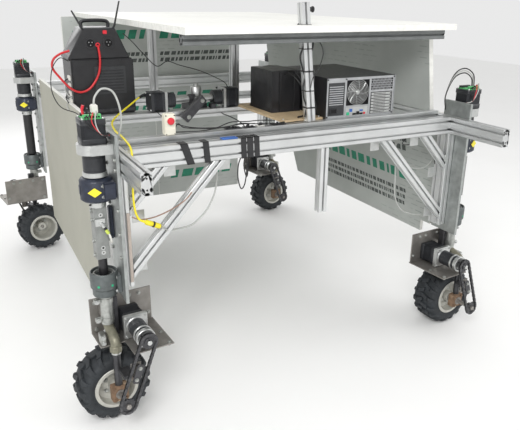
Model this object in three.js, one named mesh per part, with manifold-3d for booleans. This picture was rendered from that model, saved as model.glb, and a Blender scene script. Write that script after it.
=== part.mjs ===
// A gantry robot with four driven and steered wheels that drives over a crop row, on a slotted frame.
// Millimetres, +Z up. While it is built, X = 0 is midway between the side rails, Y = 0 is the front face of
// the front beam and Z = 0 is the ground; the last lines move the origin below the middle of the robot.
import * as THREE from "three";
import { mergeVertices } from "three/addons/utils/BufferGeometryUtils.js";
import Module from "manifold-3d";

const wasm = await Module();
wasm.setup();

// ---- Driving dimensions -------------------------------------------------------------------------------
const gap = 0.35; // between pieces that touch
const pitch = 38.1; // one module of the slotted profile
const slotWidth = 8.4;
const slotDepth = 9.5;

const railX = 780; // centre of each side rail
const frameLength = 1985; // outer faces of the front and rear beams
const railOverhang = 308; // the rails run on past the front beam
const frameTop = 1087.1;
const frameMiddle = frameTop - pitch; // beams and rails are two modules high
const frameBottom = frameTop - 2 * pitch;
const postBottom = 554;
const inside = railX - pitch / 2 - gap; // inner face of the rails, less the gap

const braceAngle = 47.5; // degrees from level
const shortBraceFoot = 603; // where each brace's centre line meets the underside of the front beam
const longBraceFoot = 372;

const deckTop = 1104.1; // top of the two cross rails
const frontCrossRailY = 104;
const middleCrossRailY = 579;

const roofUnderside = 1473;
const boardThickness = 25;
const sheetThickness = 18;

const steeringX = 870; // steering axes, left and right of the middle
const frontAxisY = 19;
const rearAxisY = 1966;
const wheelRadius = 147;
const tyreHalfWidth = 70;
const tyreMiddle = 14; // the tyre's middle, behind the steering axis
const rimRadius = 88;
const beadRadius = 78;
const driveOffset = 95; // drive motor, sideways from the steering axis
const driveHeight = 396;
const chainPlane = -182; // along the axle, from the middle of the wheel
const sprocketRadius = 33.5; // over the teeth
const axleRadius = 10;

// Each corner: name, the side it is on, its place and how far its wheel is turned.
const corners = [
  { name: "front_left", side: -1, y: frontAxisY, turn: 4, plate: [-84, 81] },
  { name: "front_right", side: 1, y: frontAxisY, turn: 5, plate: [-94, 71] },
  { name: "rear_left", side: -1, y: rearAxisY, turn: 188, plate: [-84, 81] },
  { name: "rear_right", side: 1, y: rearAxisY, turn: 7, plate: [-84, 81] },
];

// ---- Materials ----------------------------------------------------------------------------------------
function material(color, roughness, metalness) {
  return new THREE.MeshStandardMaterial({ color, roughness, metalness });
}
const look = {
  aluminium: () => material(0xc9ccca, 0.35, 0.9),
  steel: () => material(0x8a857c, 0.5, 0.8),
  zinc: () => material(0xa9aba6, 0.4, 0.9),
  black: () => material(0x1e2024, 0.5, 0.1),
  casting: () => material(0x20242e, 0.55, 0.3),
  rubber: () => material(0x1c2024, 0.85, 0),
  rim: () => material(0xc4c2b6, 0.5, 0.3),
  sprocket: () => material(0x3a3a3c, 0.45, 0.8),
  panel: () => material(0xa5a391, 0.7, 0),
  board: () => material(0xebebe4, 0.6, 0),
  plywood: () => material(0xb89a72, 0.75, 0),
  sheet: () => material(0x9a9c9e, 0.4, 0.7),
  cream: () => material(0xdcd8c4, 0.5, 0),
  red: () => material(0xc0202c, 0.4, 0),
  yellow: () => material(0xe8d820, 0.5, 0),
};

// ---- Shape helpers ------------------------------------------------------------------------------------
function box(x0, x1, y0, y1, z0, z1) {
  const shape = new THREE.BoxGeometry(Math.abs(x1 - x0), Math.abs(y1 - y0), Math.abs(z1 - z0));
  return shape.translate((x0 + x1) / 2, (y0 + y1) / 2, (z0 + z1) / 2);
}

// An upright cylinder between two heights.
function upright(radius, z0, z1, segments = 12, x = 0, y = 0) {
  const shape = new THREE.CylinderGeometry(radius, radius, z1 - z0, segments);
  return shape.rotateX(Math.PI / 2).translate(x, y, (z0 + z1) / 2);
}

// A cylinder along Y, as every axle here is before its wheel is turned.
function alongY(radius, y0, y1, x = 0, z = 0, segments = 12) {
  return new THREE.CylinderGeometry(radius, radius, y1 - y0, segments).translate(x, (y0 + y1) / 2, z);
}

function alongX(radius, x0, x1, y, z, segments = 12) {
  const shape = new THREE.CylinderGeometry(radius, radius, x1 - x0, segments);
  return shape.rotateZ(Math.PI / 2).translate((x0 + x1) / 2, y, z);
}

// Flat outlines made into plates: [x, y] points upwards, [x, z] points along Y and [y, z] points along X.
function slab(points, thickness) {
  const shape = new THREE.Shape(points.map(([a, b]) => new THREE.Vector2(a, b)));
  return new THREE.ExtrudeGeometry(shape, { depth: thickness, bevelEnabled: false });
}

function plateXY(points, z0, z1) {
  return slab(points, z1 - z0).translate(0, 0, z0);
}

function plateXZ(points, y0, y1) {
  return slab(points, y1 - y0).rotateX(Math.PI / 2).translate(0, y1, 0);
}

function plateYZ(points, x0, x1) {
  return slab(points, x1 - x0).rotateX(Math.PI / 2).rotateZ(Math.PI / 2).translate(x0, 0, 0);
}

// A turned piece round the Y axis; its outline is a list of [radius, y] points.
function turned(outline, segments = 12) {
  return new THREE.LatheGeometry(outline.map(([r, y]) => new THREE.Vector2(r, y)), segments);
}

function solid(geometry) {
  const bare = geometry.clone();
  bare.deleteAttribute("normal");
  bare.deleteAttribute("uv");
  const merged = mergeVertices(bare, 1e-3);
  return new wasm.Manifold(
    new wasm.Mesh({
      numProp: 3,
      vertProperties: new Float32Array(merged.attributes.position.array),
      triVerts: new Uint32Array(merged.index.array),
    }),
  );
}

function surface(manifold) {
  const mesh = manifold.getMesh();
  const geometry = new THREE.BufferGeometry();
  geometry.setAttribute("position", new THREE.BufferAttribute(mesh.vertProperties, 3));
  geometry.setIndex(new THREE.BufferAttribute(mesh.triVerts, 1));
  return geometry;
}

function join(...pieces) {
  return surface(pieces.map(solid).reduce((whole, piece) => whole.add(piece)));
}

function cut(body, ...tools) {
  return surface(tools.map(solid).reduce((whole, tool) => whole.subtract(tool), solid(body)));
}

// Slotted profile, centred on the origin with its length along Z.
function profile(columns, rows, length) {
  const halfX = (columns * pitch) / 2;
  const halfY = (rows * pitch) / 2;
  const outline = [];
  function side(modules, half, point) {
    outline.push(point(-half, 0));
    for (let i = 0; i < modules; i++) {
      const middle = (i - (modules - 1) / 2) * pitch;
      outline.push(point(middle - slotWidth / 2, 0));
      outline.push(point(middle - slotWidth / 2, slotDepth));
      outline.push(point(middle + slotWidth / 2, slotDepth));
      outline.push(point(middle + slotWidth / 2, 0));
    }
  }
  side(columns, halfX, (along, depth) => [along, -halfY + depth]);
  side(rows, halfY, (along, depth) => [halfX - depth, along]);
  side(columns, halfX, (along, depth) => [-along, halfY - depth]);
  side(rows, halfY, (along, depth) => [-halfX + depth, -along]);
  return plateXY(outline, -length / 2, length / 2);
}

// A tube of the given radius through a list of points.
function tube(points, radius, sides, steps) {
  const section = new THREE.Shape();
  for (let i = 0; i < sides; i++) {
    const angle = (2 * Math.PI * i) / sides;
    const corner = [radius * Math.cos(angle), radius * Math.sin(angle)];
    if (i === 0) section.moveTo(...corner);
    else section.lineTo(...corner);
  }
  section.closePath();
  const path = new THREE.CatmullRomCurve3(points.map((point) => new THREE.Vector3(...point)));
  return new THREE.ExtrudeGeometry(section, { steps, extrudePath: path });
}

const robot = new THREE.Group();

function add(name, geometry, surfaceLook, parent = robot) {
  const mesh = new THREE.Mesh(geometry, surfaceLook());
  mesh.name = name;
  parent.add(mesh);
  return mesh;
}

// ---- Frame --------------------------------------------------------------------------------------------
function buildFrame() {
  const beam = () => profile(2, 1, 2 * inside).rotateY(Math.PI / 2);
  add("front_beam", beam(), look.aluminium).position.set(0, pitch / 2, frameMiddle);
  add("rear_beam", beam(), look.aluminium).position.set(0, frameLength - pitch / 2, frameMiddle);

  const railLength = frameLength + railOverhang;
  const railMiddle = (frameLength - railOverhang) / 2;
  for (const [name, x] of [["left_rail", -railX], ["right_rail", railX]]) {
    const rail = profile(1, 2, railLength).rotateX(Math.PI / 2);
    add(name, rail, look.aluminium).position.set(x, railMiddle, frameMiddle);
  }

  const postLength = frameBottom - gap - postBottom;
  for (const { name, side, y } of corners) {
    const inward = y === frontAxisY ? pitch : frameLength - pitch;
    const post = add(name + "_post", profile(1, 2, postLength), look.aluminium);
    post.position.set(side * railX, inward, postBottom + postLength / 2);
  }

  const crossRail = () => profile(1, 1, 2 * inside).rotateY(Math.PI / 2);
  const crossRailZ = deckTop - pitch / 2;
  add("front_cross_rail", crossRail(), look.aluminium).position.set(0, frontCrossRailY, crossRailZ);
  add("middle_cross_rail", crossRail(), look.aluminium).position.set(0, middleCrossRailY, crossRailZ);
}

// A brace from the underside of the front beam to the inner face of a front post, mitred at both ends.
function buildBraces() {
  const slope = THREE.MathUtils.degToRad(braceAngle);
  const ceiling = frameBottom - gap;
  for (const [name, side] of [["left", -1], ["right", 1]]) {
    for (const [kind, foot] of [["short", shortBraceFoot], ["long", longBraceFoot]]) {
      const span = inside - foot;
      const length = span / Math.cos(slope) + 3 * pitch;
      const bar = profile(1, 1, length).rotateY(side * (slope - Math.PI / 2));
      const drop = (span / 2) * Math.tan(slope);
      bar.translate(side * (foot + span / 2), pitch / 2, ceiling - drop);
      const room = box(0, side * inside, 0, pitch, postBottom, ceiling);
      add(`${name}_${kind}_brace`, surface(solid(bar).intersect(solid(room))), look.aluminium);
    }
  }
}

// ---- Walls and roof -----------------------------------------------------------------------------------
function buildWalls() {
  const skin = railX + pitch / 2 + gap; // inner face of the boards outside the rails
  add("left_panel", box(-skin - sheetThickness, -skin, 300, 1645, 305, 1146), look.panel);

  const lowerOutline = [[165, 462], [1425, 462], [1766, frameTop], [100, frameTop], [100, 520], [165, 520]];
  add("right_panel", plateYZ(lowerOutline, skin, skin + sheetThickness), look.panel);

  const lean = 57; // the upper board leans in by this much at its top
  const foot = 792;
  const bottom = frameTop + gap;
  const top = roofUnderside - gap;
  const upperOutline = [
    [foot - boardThickness, bottom],
    [foot, bottom],
    [foot - lean, top],
    [foot - lean - boardThickness, top],
  ];
  add("right_upper_panel", plateXZ(upperOutline, 150, 1800), look.board);

  const wallFront = frameLength + gap;
  const wall = box(-604, 600, wallFront, wallFront + boardThickness, 235, roofUnderside - gap);
  add("back_wall", wall, look.board);

  const mastHole = box(-7, 48, 78, 130, roofUnderside - 10, roofUnderside + 2 * boardThickness);
  const roof = box(-525, 732, 0, frameLength, roofUnderside, roofUnderside + boardThickness);
  add("roof", cut(roof, mastHole), look.board);

  const mastLength = 478;
  const mast = add("mast", profile(1, 1, mastLength), look.aluminium);
  const mastLean = THREE.MathUtils.degToRad(6);
  mast.rotation.y = -mastLean;
  const footClearance = 2.5; // the leaning mast's lower corners stay above the rail
  const mastRise = (mastLength / 2) * Math.cos(mastLean);
  const mastShift = (mastLength / 2) * Math.sin(mastLean);
  mast.position.set(60 - mastShift, frontCrossRailY, deckTop + footClearance + mastRise);

  const hangingLength = 284;
  const hanging = add("hanging_post", profile(1, 1, hangingLength), look.aluminium);
  hanging.position.set(79, pitch / 2, frameBottom - gap - hangingLength / 2);
}

// ---- Equipment on the deck ----------------------------------------------------------------------------
function buildEquipment() {
  const boardTop = deckTop + gap + 9;
  add("deck_board", box(-60, 140, 126, 590, deckTop + gap, boardTop), look.plywood);
  add("black_case", box(-20, 130, 300, 520, boardTop + gap, 1300), look.black);
  add("pc_case", box(143, 508, 110, 590, deckTop + gap, 1280), look.sheet);

  const batteryBody = box(-798, -520, 700, 900, frameTop + gap, 1335);
  const headOutline = [[-810, 1334], [-535, 1334], [-594, 1466], [-732, 1466]];
  const batteryHead = plateXZ(headOutline, 700, 880);
  add("battery_box", join(batteryBody, batteryHead), look.black);

  const stopBlock = box(-585, -542, 86, 122, deckTop + gap, 1186);
  const stemBore = alongY(6.4, 80, 106, -563.5, 1160);
  add("e_stop_box", cut(stopBlock, stemBore), look.cream);
  const cap = [[0, -8], [9, -8], [14, -4], [14, 0], [5.8, 0], [5.8, 16], [0, 16]];
  const button = add("e_stop_button", turned(cap, 12), look.red);
  button.position.set(-563.5, 79, 1160);
}

// Two gear motors stand on the middle cross rail and face each other; a bar hangs on the shaft between them.
function buildArm() {
  const axisY = middleCrossRailY + 21;
  const axisZ = 1150;
  for (const [name, side, back] of [["arm_motor_left", 1, -490], ["arm_motor_right", -1, -60]]) {
    const at = (distance) => back + side * distance;
    const body = box(at(0), at(66), axisY - 43, axisY + 43, axisZ - 43, axisZ + 43);
    const flange = box(at(65), at(77), axisY - 46, axisY + 46, deckTop + gap, axisZ + 46);
    const gearbox = alongX(35, Math.min(at(76), at(120)), Math.max(at(76), at(120)), axisY, axisZ);
    add(name, join(body, flange, gearbox), look.black);
  }
  const hub = alongX(15, -369.5, -180.5, axisY, axisZ);
  const block = box(-285, -245, axisY - 72, axisY, axisZ - 12, axisZ + 12);
  const barOutline = [[-262, 1178], [-240, 1150], [-334, 1056], [-362, 1084]];
  const bar = plateXZ(barOutline, axisY - 86, axisY - 50);
  add("arm_bar", join(hub, block, bar), look.black);
}

// ---- Corner modules -----------------------------------------------------------------------------------
const motorFoot = 1122.4; // underside of the steering motor's square body
const clampBottom = 1085.5;
const bearing = { bottom: 915, top: 1000, radius: 58, bore: 20 };
const ring = { bottom: 540, top: 635, radius: 52, bore: 34 };
const plateNear = 57.5; // distance of the corner plate's outer face from the steering axis
const plateFar = 69.5;
const shelfTop = 347; // the shelf under the drive motor

function steerMotor() {
  const body = box(-43, 43, -43, 43, motorFoot, 1208);
  const terminals = box(-32, 32, -36, 36, 1207, 1226);
  const neck = upright(36, clampBottom - 1, motorFoot + 1);
  const gearbox = upright(40, 1020, clampBottom - gap);
  const output = upright(43, 1003, 1021);
  return join(body, terminals, neck, gearbox, output);
}

// The plate bolted to the post, with everything that holds the column. inward points to the robot's middle.
function cornerPlate(inward, [y0, y1]) {
  const near = inward * plateNear;
  const wall = box(near, inward * plateFar, y0, y1, 520, 1155);
  const clamp = box(-inward * 58, near + inward, -58, 58, clampBottom, 1122);
  const bearingFoot = box(inward * 10, near + inward, -65, 65, bearing.bottom + 10, bearing.top - 10);
  const bearingBody = upright(bearing.radius, bearing.bottom, bearing.top, 16);
  const ringArm = box(inward * 40, near + inward, -38, 38, ring.bottom + 6, ring.top - 12);
  const ringBody = upright(ring.radius, ring.bottom, ring.top, 16);
  const whole = join(wall, clamp, bearingFoot, bearingBody, ringArm, ringBody);
  return cut(
    whole,
    upright(36.5, clampBottom - 5, 1130),
    upright(bearing.bore, bearing.bottom - 5, bearing.top + 5),
    upright(ring.bore, ring.bottom - 5, ring.top + 5, 16),
  );
}

// Everything that turns with the steering except the drive and the wheel. inward is the drive motor's side.
function steeringColumn(inward) {
  const shaft = upright(bearing.bore - 1, 880, 1001.5);
  const coupling = upright(30, 889, bearing.bottom - 1);
  const sleeve = cut(box(-24, 24, -24, 24, 690, 890), alongY(9, -30, 30, 0, 735, 8));
  const upperTube = upright(17, 600, 691);
  const collar = upright(ring.bore - 1, 548, 601, 16);
  const stub = upright(20, 532, 550);
  const clampTube = upright(24, 415, 533);
  const elbow = tube([[0, 0, 440], [0, -4, 405], [0, -40, 388], [0, -76, 372], [0, -80, 340]], 20, 10, 6);
  const strut = upright(15, 165, 345, 12, 0, -80);
  const axleBlock = cut(
    box(-32, 32, -98, -62, wheelRadius - 32, wheelRadius + 36),
    alongY(axleRadius + 0.6, -110, -50, 0, wheelRadius),
  );
  const blackBar = box(inward * 14, inward * 46, 8, 36, shelfTop - 2, 512);
  const spacer = box(inward * -18, inward * 18, 10, 63, 430, 490);
  const backPlate = box(inward * -50, inward * 200, 62, 68, shelfTop - 5, 495);
  const right = inward * 205;
  const left = inward * -50;
  const step = inward * 45;
  const shelfOutline = [[left, 68], [right, 68], [right, -160], [step, -160], [step, -55], [left, -55]];
  if (inward > 0) shelfOutline.reverse();
  const shelf = plateXY(shelfOutline, shelfTop - 5, shelfTop);
  return join(
    shaft, coupling, sleeve, upperTube, collar, stub, clampTube, elbow,
    strut, axleBlock, blackBar, spacer, backPlate, shelf,
  );
}

function driveMotor(inward) {
  const x = inward * driveOffset;
  const body = box(x - 43, x + 43, -29, 61.5, driveHeight - 43, driveHeight + 43);
  const flange = box(x - 48, x + 48, -50, -28, driveHeight - 48, driveHeight + 48);
  const gearbox = alongY(35, -140, -49, x, driveHeight);
  const output = alongY(38, -158, -139, x, driveHeight);
  return join(body, flange, gearbox, output);
}

// A chain sprocket and its hub round the Y axis, on the line of the chain; the shaft runs through both.
function sprocket(shaftRadius, shaftStart, shaftEnd) {
  const disc = chainPlane + 4;
  return turned([
    [0, shaftStart],
    [shaftRadius, shaftStart],
    [shaftRadius, chainPlane - 4],
    [sprocketRadius, chainPlane - 4],
    [sprocketRadius, disc],
    [20, disc],
    [20, disc + 16],
    [shaftRadius, disc + 16],
    [shaftRadius, shaftEnd],
    [0, shaftEnd],
  ]);
}

// Moves a turned outline to the tyre's middle.
function atTyreMiddle(outline) {
  return outline.map(([radius, y]) => [radius, y + tyreMiddle]);
}

// Rim, hub, axle and axle sprocket turn as one.
function wheelRim() {
  const bead = beadRadius;
  const edge = tyreHalfWidth - 2;
  const outline = [
    [bead - 6, -edge],
    [rimRadius, -edge],
    [rimRadius, -edge + 5],
    [bead, -edge + 5],
    [bead, edge - 5],
    [rimRadius, edge - 5],
    [rimRadius, edge],
    [bead - 6, edge],
    [bead - 6, -edge],
  ];
  const rim = turned(atTyreMiddle(outline), 24);
  const web = alongY(bead - 5, -10, -4, 0, 0, 12);
  const hub = alongY(26, -48, 40);
  return join(rim, web, hub, sprocket(axleRadius, -194, -46));
}

function tyre() {
  const half = tyreHalfWidth;
  const seat = half - 7.6;
  const outline = [
    [beadRadius + 0.5, -seat],
    [rimRadius + 1, -seat],
    [rimRadius + 8, -half],
    [wheelRadius - 18, -half],
    [wheelRadius, -half + 18],
    [wheelRadius, half - 18],
    [wheelRadius - 18, half],
    [rimRadius + 8, half],
    [rimRadius + 1, seat],
    [beadRadius + 0.5, seat],
    [beadRadius + 0.5, -seat],
  ];
  return turned(atTyreMiddle(outline), 24);
}

function buildCorner({ name, side, y, turn, plate }) {
  const inward = -side;
  const fixed = new THREE.Group();
  fixed.position.set(side * steeringX, y, 0);
  robot.add(fixed);
  add(name + "_corner_plate", cornerPlate(inward, plate), look.zinc, fixed);
  add(name + "_steer_motor", steerMotor(), look.black, fixed);

  const turning = new THREE.Group();
  turning.rotation.z = THREE.MathUtils.degToRad(turn);
  fixed.add(turning);
  add(name + "_steering_column", steeringColumn(inward), look.steel, turning);
  add(name + "_drive_motor", driveMotor(inward), look.black, turning);
  const drive = add(name + "_drive_sprocket", sprocket(9, -196, -158.5), look.sprocket, turning);
  drive.position.set(inward * driveOffset, 0, driveHeight);
  add(name + "_wheel_rim", wheelRim(), look.rim, turning).position.z = wheelRadius;
  add(name + "_tyre", tyre(), look.rubber, turning).position.z = wheelRadius;
}

// ---- Cords --------------------------------------------------------------------------------------------
// The yellow cord leaves the left arm motor, crosses the front rail and the beam and hangs at the left post.
const yellowRoute = [
  [-520, 640, 1165], [-578, 590, 1142], [-650, 505, 1122], [-715, 365, 1117], [-746, 200, 1118],
  [-748, 104, 1117], [-746, 40, 1108], [-745, 0, 1099], [-745, -20, 1076], [-748, -24, 1000],
  [-751, -24, 930], [-748, -26, 868], [-735, -28, 832], [-712, -30, 819],
];
// The red lead hangs in a loop from the battery box's head round to its left side.
const redRoute = [
  [-676, 690, 1395], [-673, 686, 1331], [-686, 684, 1267], [-726, 684, 1212], [-771, 684, 1197],
  [-812, 684, 1217], [-850, 686, 1262], [-877, 690, 1305], [-868, 700, 1340], [-835, 706, 1362],
  [-797, 712, 1372],
];

buildFrame();
buildBraces();
buildWalls();
buildEquipment();
buildArm();
corners.forEach(buildCorner);

// The origin goes to the ground below the middle of the robot, cords not counted.
const extent = new THREE.Box3().setFromObject(robot, true);
add("yellow_cord", tube(yellowRoute, 4, 8, 50), look.yellow);
add("red_cord", tube(redRoute, 5, 8, 26), look.red);
const middle = extent.getCenter(new THREE.Vector3());
robot.position.set(-middle.x, -middle.y, -extent.min.z);

// The exported group keeps its children in the moved frame.
const part = new THREE.Group();
part.add(robot);

export default part;
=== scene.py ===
"""Looks of a gantry field robot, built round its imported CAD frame.

Every place is written in the robot's own plan, in millimetres: X from the middle of the front beam, Y from
the beam's front face towards the back wall, and Z from the ground. at() turns such a place into metres.
"""
import math
import random

import bmesh
import bpy
from mathutils import Matrix, Vector


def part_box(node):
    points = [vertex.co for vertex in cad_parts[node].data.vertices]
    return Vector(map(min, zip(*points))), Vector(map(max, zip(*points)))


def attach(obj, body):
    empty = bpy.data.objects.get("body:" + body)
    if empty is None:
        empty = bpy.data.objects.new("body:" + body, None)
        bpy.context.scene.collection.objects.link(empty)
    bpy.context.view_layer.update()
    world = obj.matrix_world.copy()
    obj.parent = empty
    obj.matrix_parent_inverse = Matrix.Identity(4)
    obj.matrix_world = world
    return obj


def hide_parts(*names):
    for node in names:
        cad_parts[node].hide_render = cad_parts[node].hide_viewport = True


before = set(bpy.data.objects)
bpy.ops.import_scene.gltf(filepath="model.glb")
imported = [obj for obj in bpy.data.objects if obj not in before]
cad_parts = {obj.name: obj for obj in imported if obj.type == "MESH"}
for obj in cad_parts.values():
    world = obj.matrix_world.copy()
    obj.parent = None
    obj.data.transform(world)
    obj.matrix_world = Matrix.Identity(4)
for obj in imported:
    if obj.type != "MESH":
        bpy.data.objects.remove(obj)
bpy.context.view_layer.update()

MM = 0.001
beam_low, beam_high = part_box("front_beam")
MIDDLE_X = (beam_low.x + beam_high.x) / 2
FRONT_Y = beam_low.y
PLAN = Matrix.Translation((MIDDLE_X, FRONT_Y, 0)) @ Matrix.Scale(MM, 4)
X_AXIS, Y_AXIS, Z_AXIS = Vector((1, 0, 0)), Vector((0, 1, 0)), Vector((0, 0, 1))

PITCH = 38.1  # one module of the slotted profile
RAIL_X = 780
FRAME_TOP = 1087.1
FRAME_MIDDLE = FRAME_TOP - PITCH
FRAME_BOTTOM = FRAME_TOP - 2 * PITCH
DECK = 1104.1
CORNER_X = 870  # the steering axes
FRONT_AXIS_Y, REAR_AXIS_Y = 19, 1966
STEER_ANGLES = {"front_left": 4, "front_right": 5, "rear_left": 188, "rear_right": 7}  # degrees, at rest


def at(x, y, z):
    return PLAN @ Vector((x, y, z))


# ---- Materials --------------------------------------------------------------------------------------------
class Nodes:
    """A short way to write a material's node tree."""

    def __init__(self, name):
        self.material = bpy.data.materials.new(name)
        self.material.use_nodes = True
        self.tree = self.material.node_tree
        self.shader = self.tree.nodes["Principled BSDF"]
        self.place = self.tree.nodes.new("ShaderNodeTexCoord").outputs["Object"]

    def node(self, kind, **inputs):
        made = self.tree.nodes.new("ShaderNode" + kind)
        for key, value in inputs.items():
            self.feed(made, key.replace("_", " "), value)
        return made

    def feed(self, node, key, value):
        socket = node.inputs[int(key)] if key.isdigit() else node.inputs[key]
        if isinstance(value, bpy.types.NodeSocket):
            self.tree.links.new(value, socket)
        else:
            socket.default_value = value

    def noise(self, scale, detail=4.0, roughness=0.55, stretch=(1, 1, 1)):
        mapping = self.node("Mapping", Vector=self.place, Scale=stretch)
        made = self.node("TexNoise", Vector=mapping.outputs[0], Scale=scale, Detail=detail,
                         Roughness=roughness)
        return made.outputs["Fac"]

    def ramp(self, value, stops):
        made = self.node("ValToRGB", Fac=value)
        elements = made.color_ramp.elements
        while len(elements) < len(stops):
            elements.new(0.5)
        for element, (place, colour) in zip(elements, stops):
            element.position = place
            element.color = (*colour, 1)
        return made.outputs["Color"]

    def mix(self, amount, first, second):
        made = self.tree.nodes.new("ShaderNodeMix")
        made.data_type = "RGBA"
        self.feed(made, "0", amount)
        for index, value in ((6, first), (7, second)):
            if isinstance(value, bpy.types.NodeSocket):
                self.tree.links.new(value, made.inputs[index])
            else:
                made.inputs[index].default_value = (*value, 1)
        return made.outputs[2]

    def span(self, value, low, high):
        made = self.node("MapRange", Value=value)
        made.inputs["To Min"].default_value = low
        made.inputs["To Max"].default_value = high
        return made.outputs["Result"]

    def bump(self, height, distance, strength=1.0):
        made = self.node("Bump", Height=height, Distance=distance, Strength=strength)
        self.tree.links.new(made.outputs["Normal"], self.shader.inputs["Normal"])


def shade(colour, factor):
    return tuple(min(1.0, c * factor) for c in colour)


def worn(name, colour, roughness, metallic=0.0, spread=0.16, scale=22, grain=0.0002, grain_scale=900,
         stretch=(1, 1, 1), stain=None, stain_share=0.35, coat=0.0):
    """A surface with a mottled colour, uneven roughness, a fine grain and, where it has them, stains."""
    n = Nodes(name)
    cloud = n.noise(scale, 5)
    base = n.ramp(cloud, [(0.3, shade(colour, 1 - spread)), (0.7, shade(colour, 1 + spread * 0.6))])
    if stain:
        patches = n.noise(scale * 0.45, 8, 0.68)
        edge = n.ramp(patches, [(1 - stain_share, (0, 0, 0)), (min(1.0, 1.12 - stain_share), (1, 1, 1))])
        base = n.mix(edge, base, stain)
    n.tree.links.new(base, n.shader.inputs["Base Color"])
    n.shader.inputs["Metallic"].default_value = metallic
    n.shader.inputs["Coat Weight"].default_value = coat
    fine = n.noise(grain_scale, 3, 0.6, stretch)
    n.tree.links.new(n.span(n.noise(scale * 2.4, 4), roughness * 0.8, min(1.0, roughness * 1.22)),
                     n.shader.inputs["Roughness"])
    n.bump(fine, grain)
    return n.material


def brushed(name, colour, roughness, along):
    """Extruded or brushed metal, with its fine lines along one axis."""
    stretch = tuple(0.02 if axis == along else 1.0 for axis in "XYZ")
    return worn(name, colour, roughness, 0.9, 0.1, 9, 0.00008, 1400, stretch)


def printed(name, colour, mark, along, scale=1.0):
    """A board's facing with rows of short printed dashes, faint with age."""
    n = Nodes(name)
    cloud = n.noise(6, 5)
    base = n.ramp(cloud, [(0.3, shade(colour, 0.92)), (0.7, shade(colour, 1.05))])
    split = n.node("SeparateXYZ", Vector=n.place)
    first = split.outputs[along]
    second = split.outputs["Z"]
    swap = n.node("CombineXYZ", X=first, Y=second)
    brick = n.node("TexBrick", Vector=swap.outputs[0], Scale=scale, Mortar_Size=0.011, Brick_Width=0.07,
                   Row_Height=0.026)
    brick.inputs["Color1"].default_value = (1, 1, 1, 1)
    brick.inputs["Color2"].default_value = (0.2, 0.2, 0.2, 1)
    brick.inputs["Mortar"].default_value = (0, 0, 0, 1)
    area = n.ramp(n.noise(3.2, 1, 0.3), [(0.52, (0, 0, 0)), (0.55, (1, 1, 1))])
    fade = n.node("Math", **{"0": brick.outputs["Color"], "1": area})
    fade.operation = "MULTIPLY"
    faint = n.node("Math", **{"0": fade.outputs[0], "1": 0.35})
    faint.operation = "MULTIPLY"
    n.tree.links.new(n.mix(faint.outputs[0], base, mark), n.shader.inputs["Base Color"])
    n.shader.inputs["Roughness"].default_value = 0.6
    n.bump(n.noise(160, 3), 0.0004)
    return n.material


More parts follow.
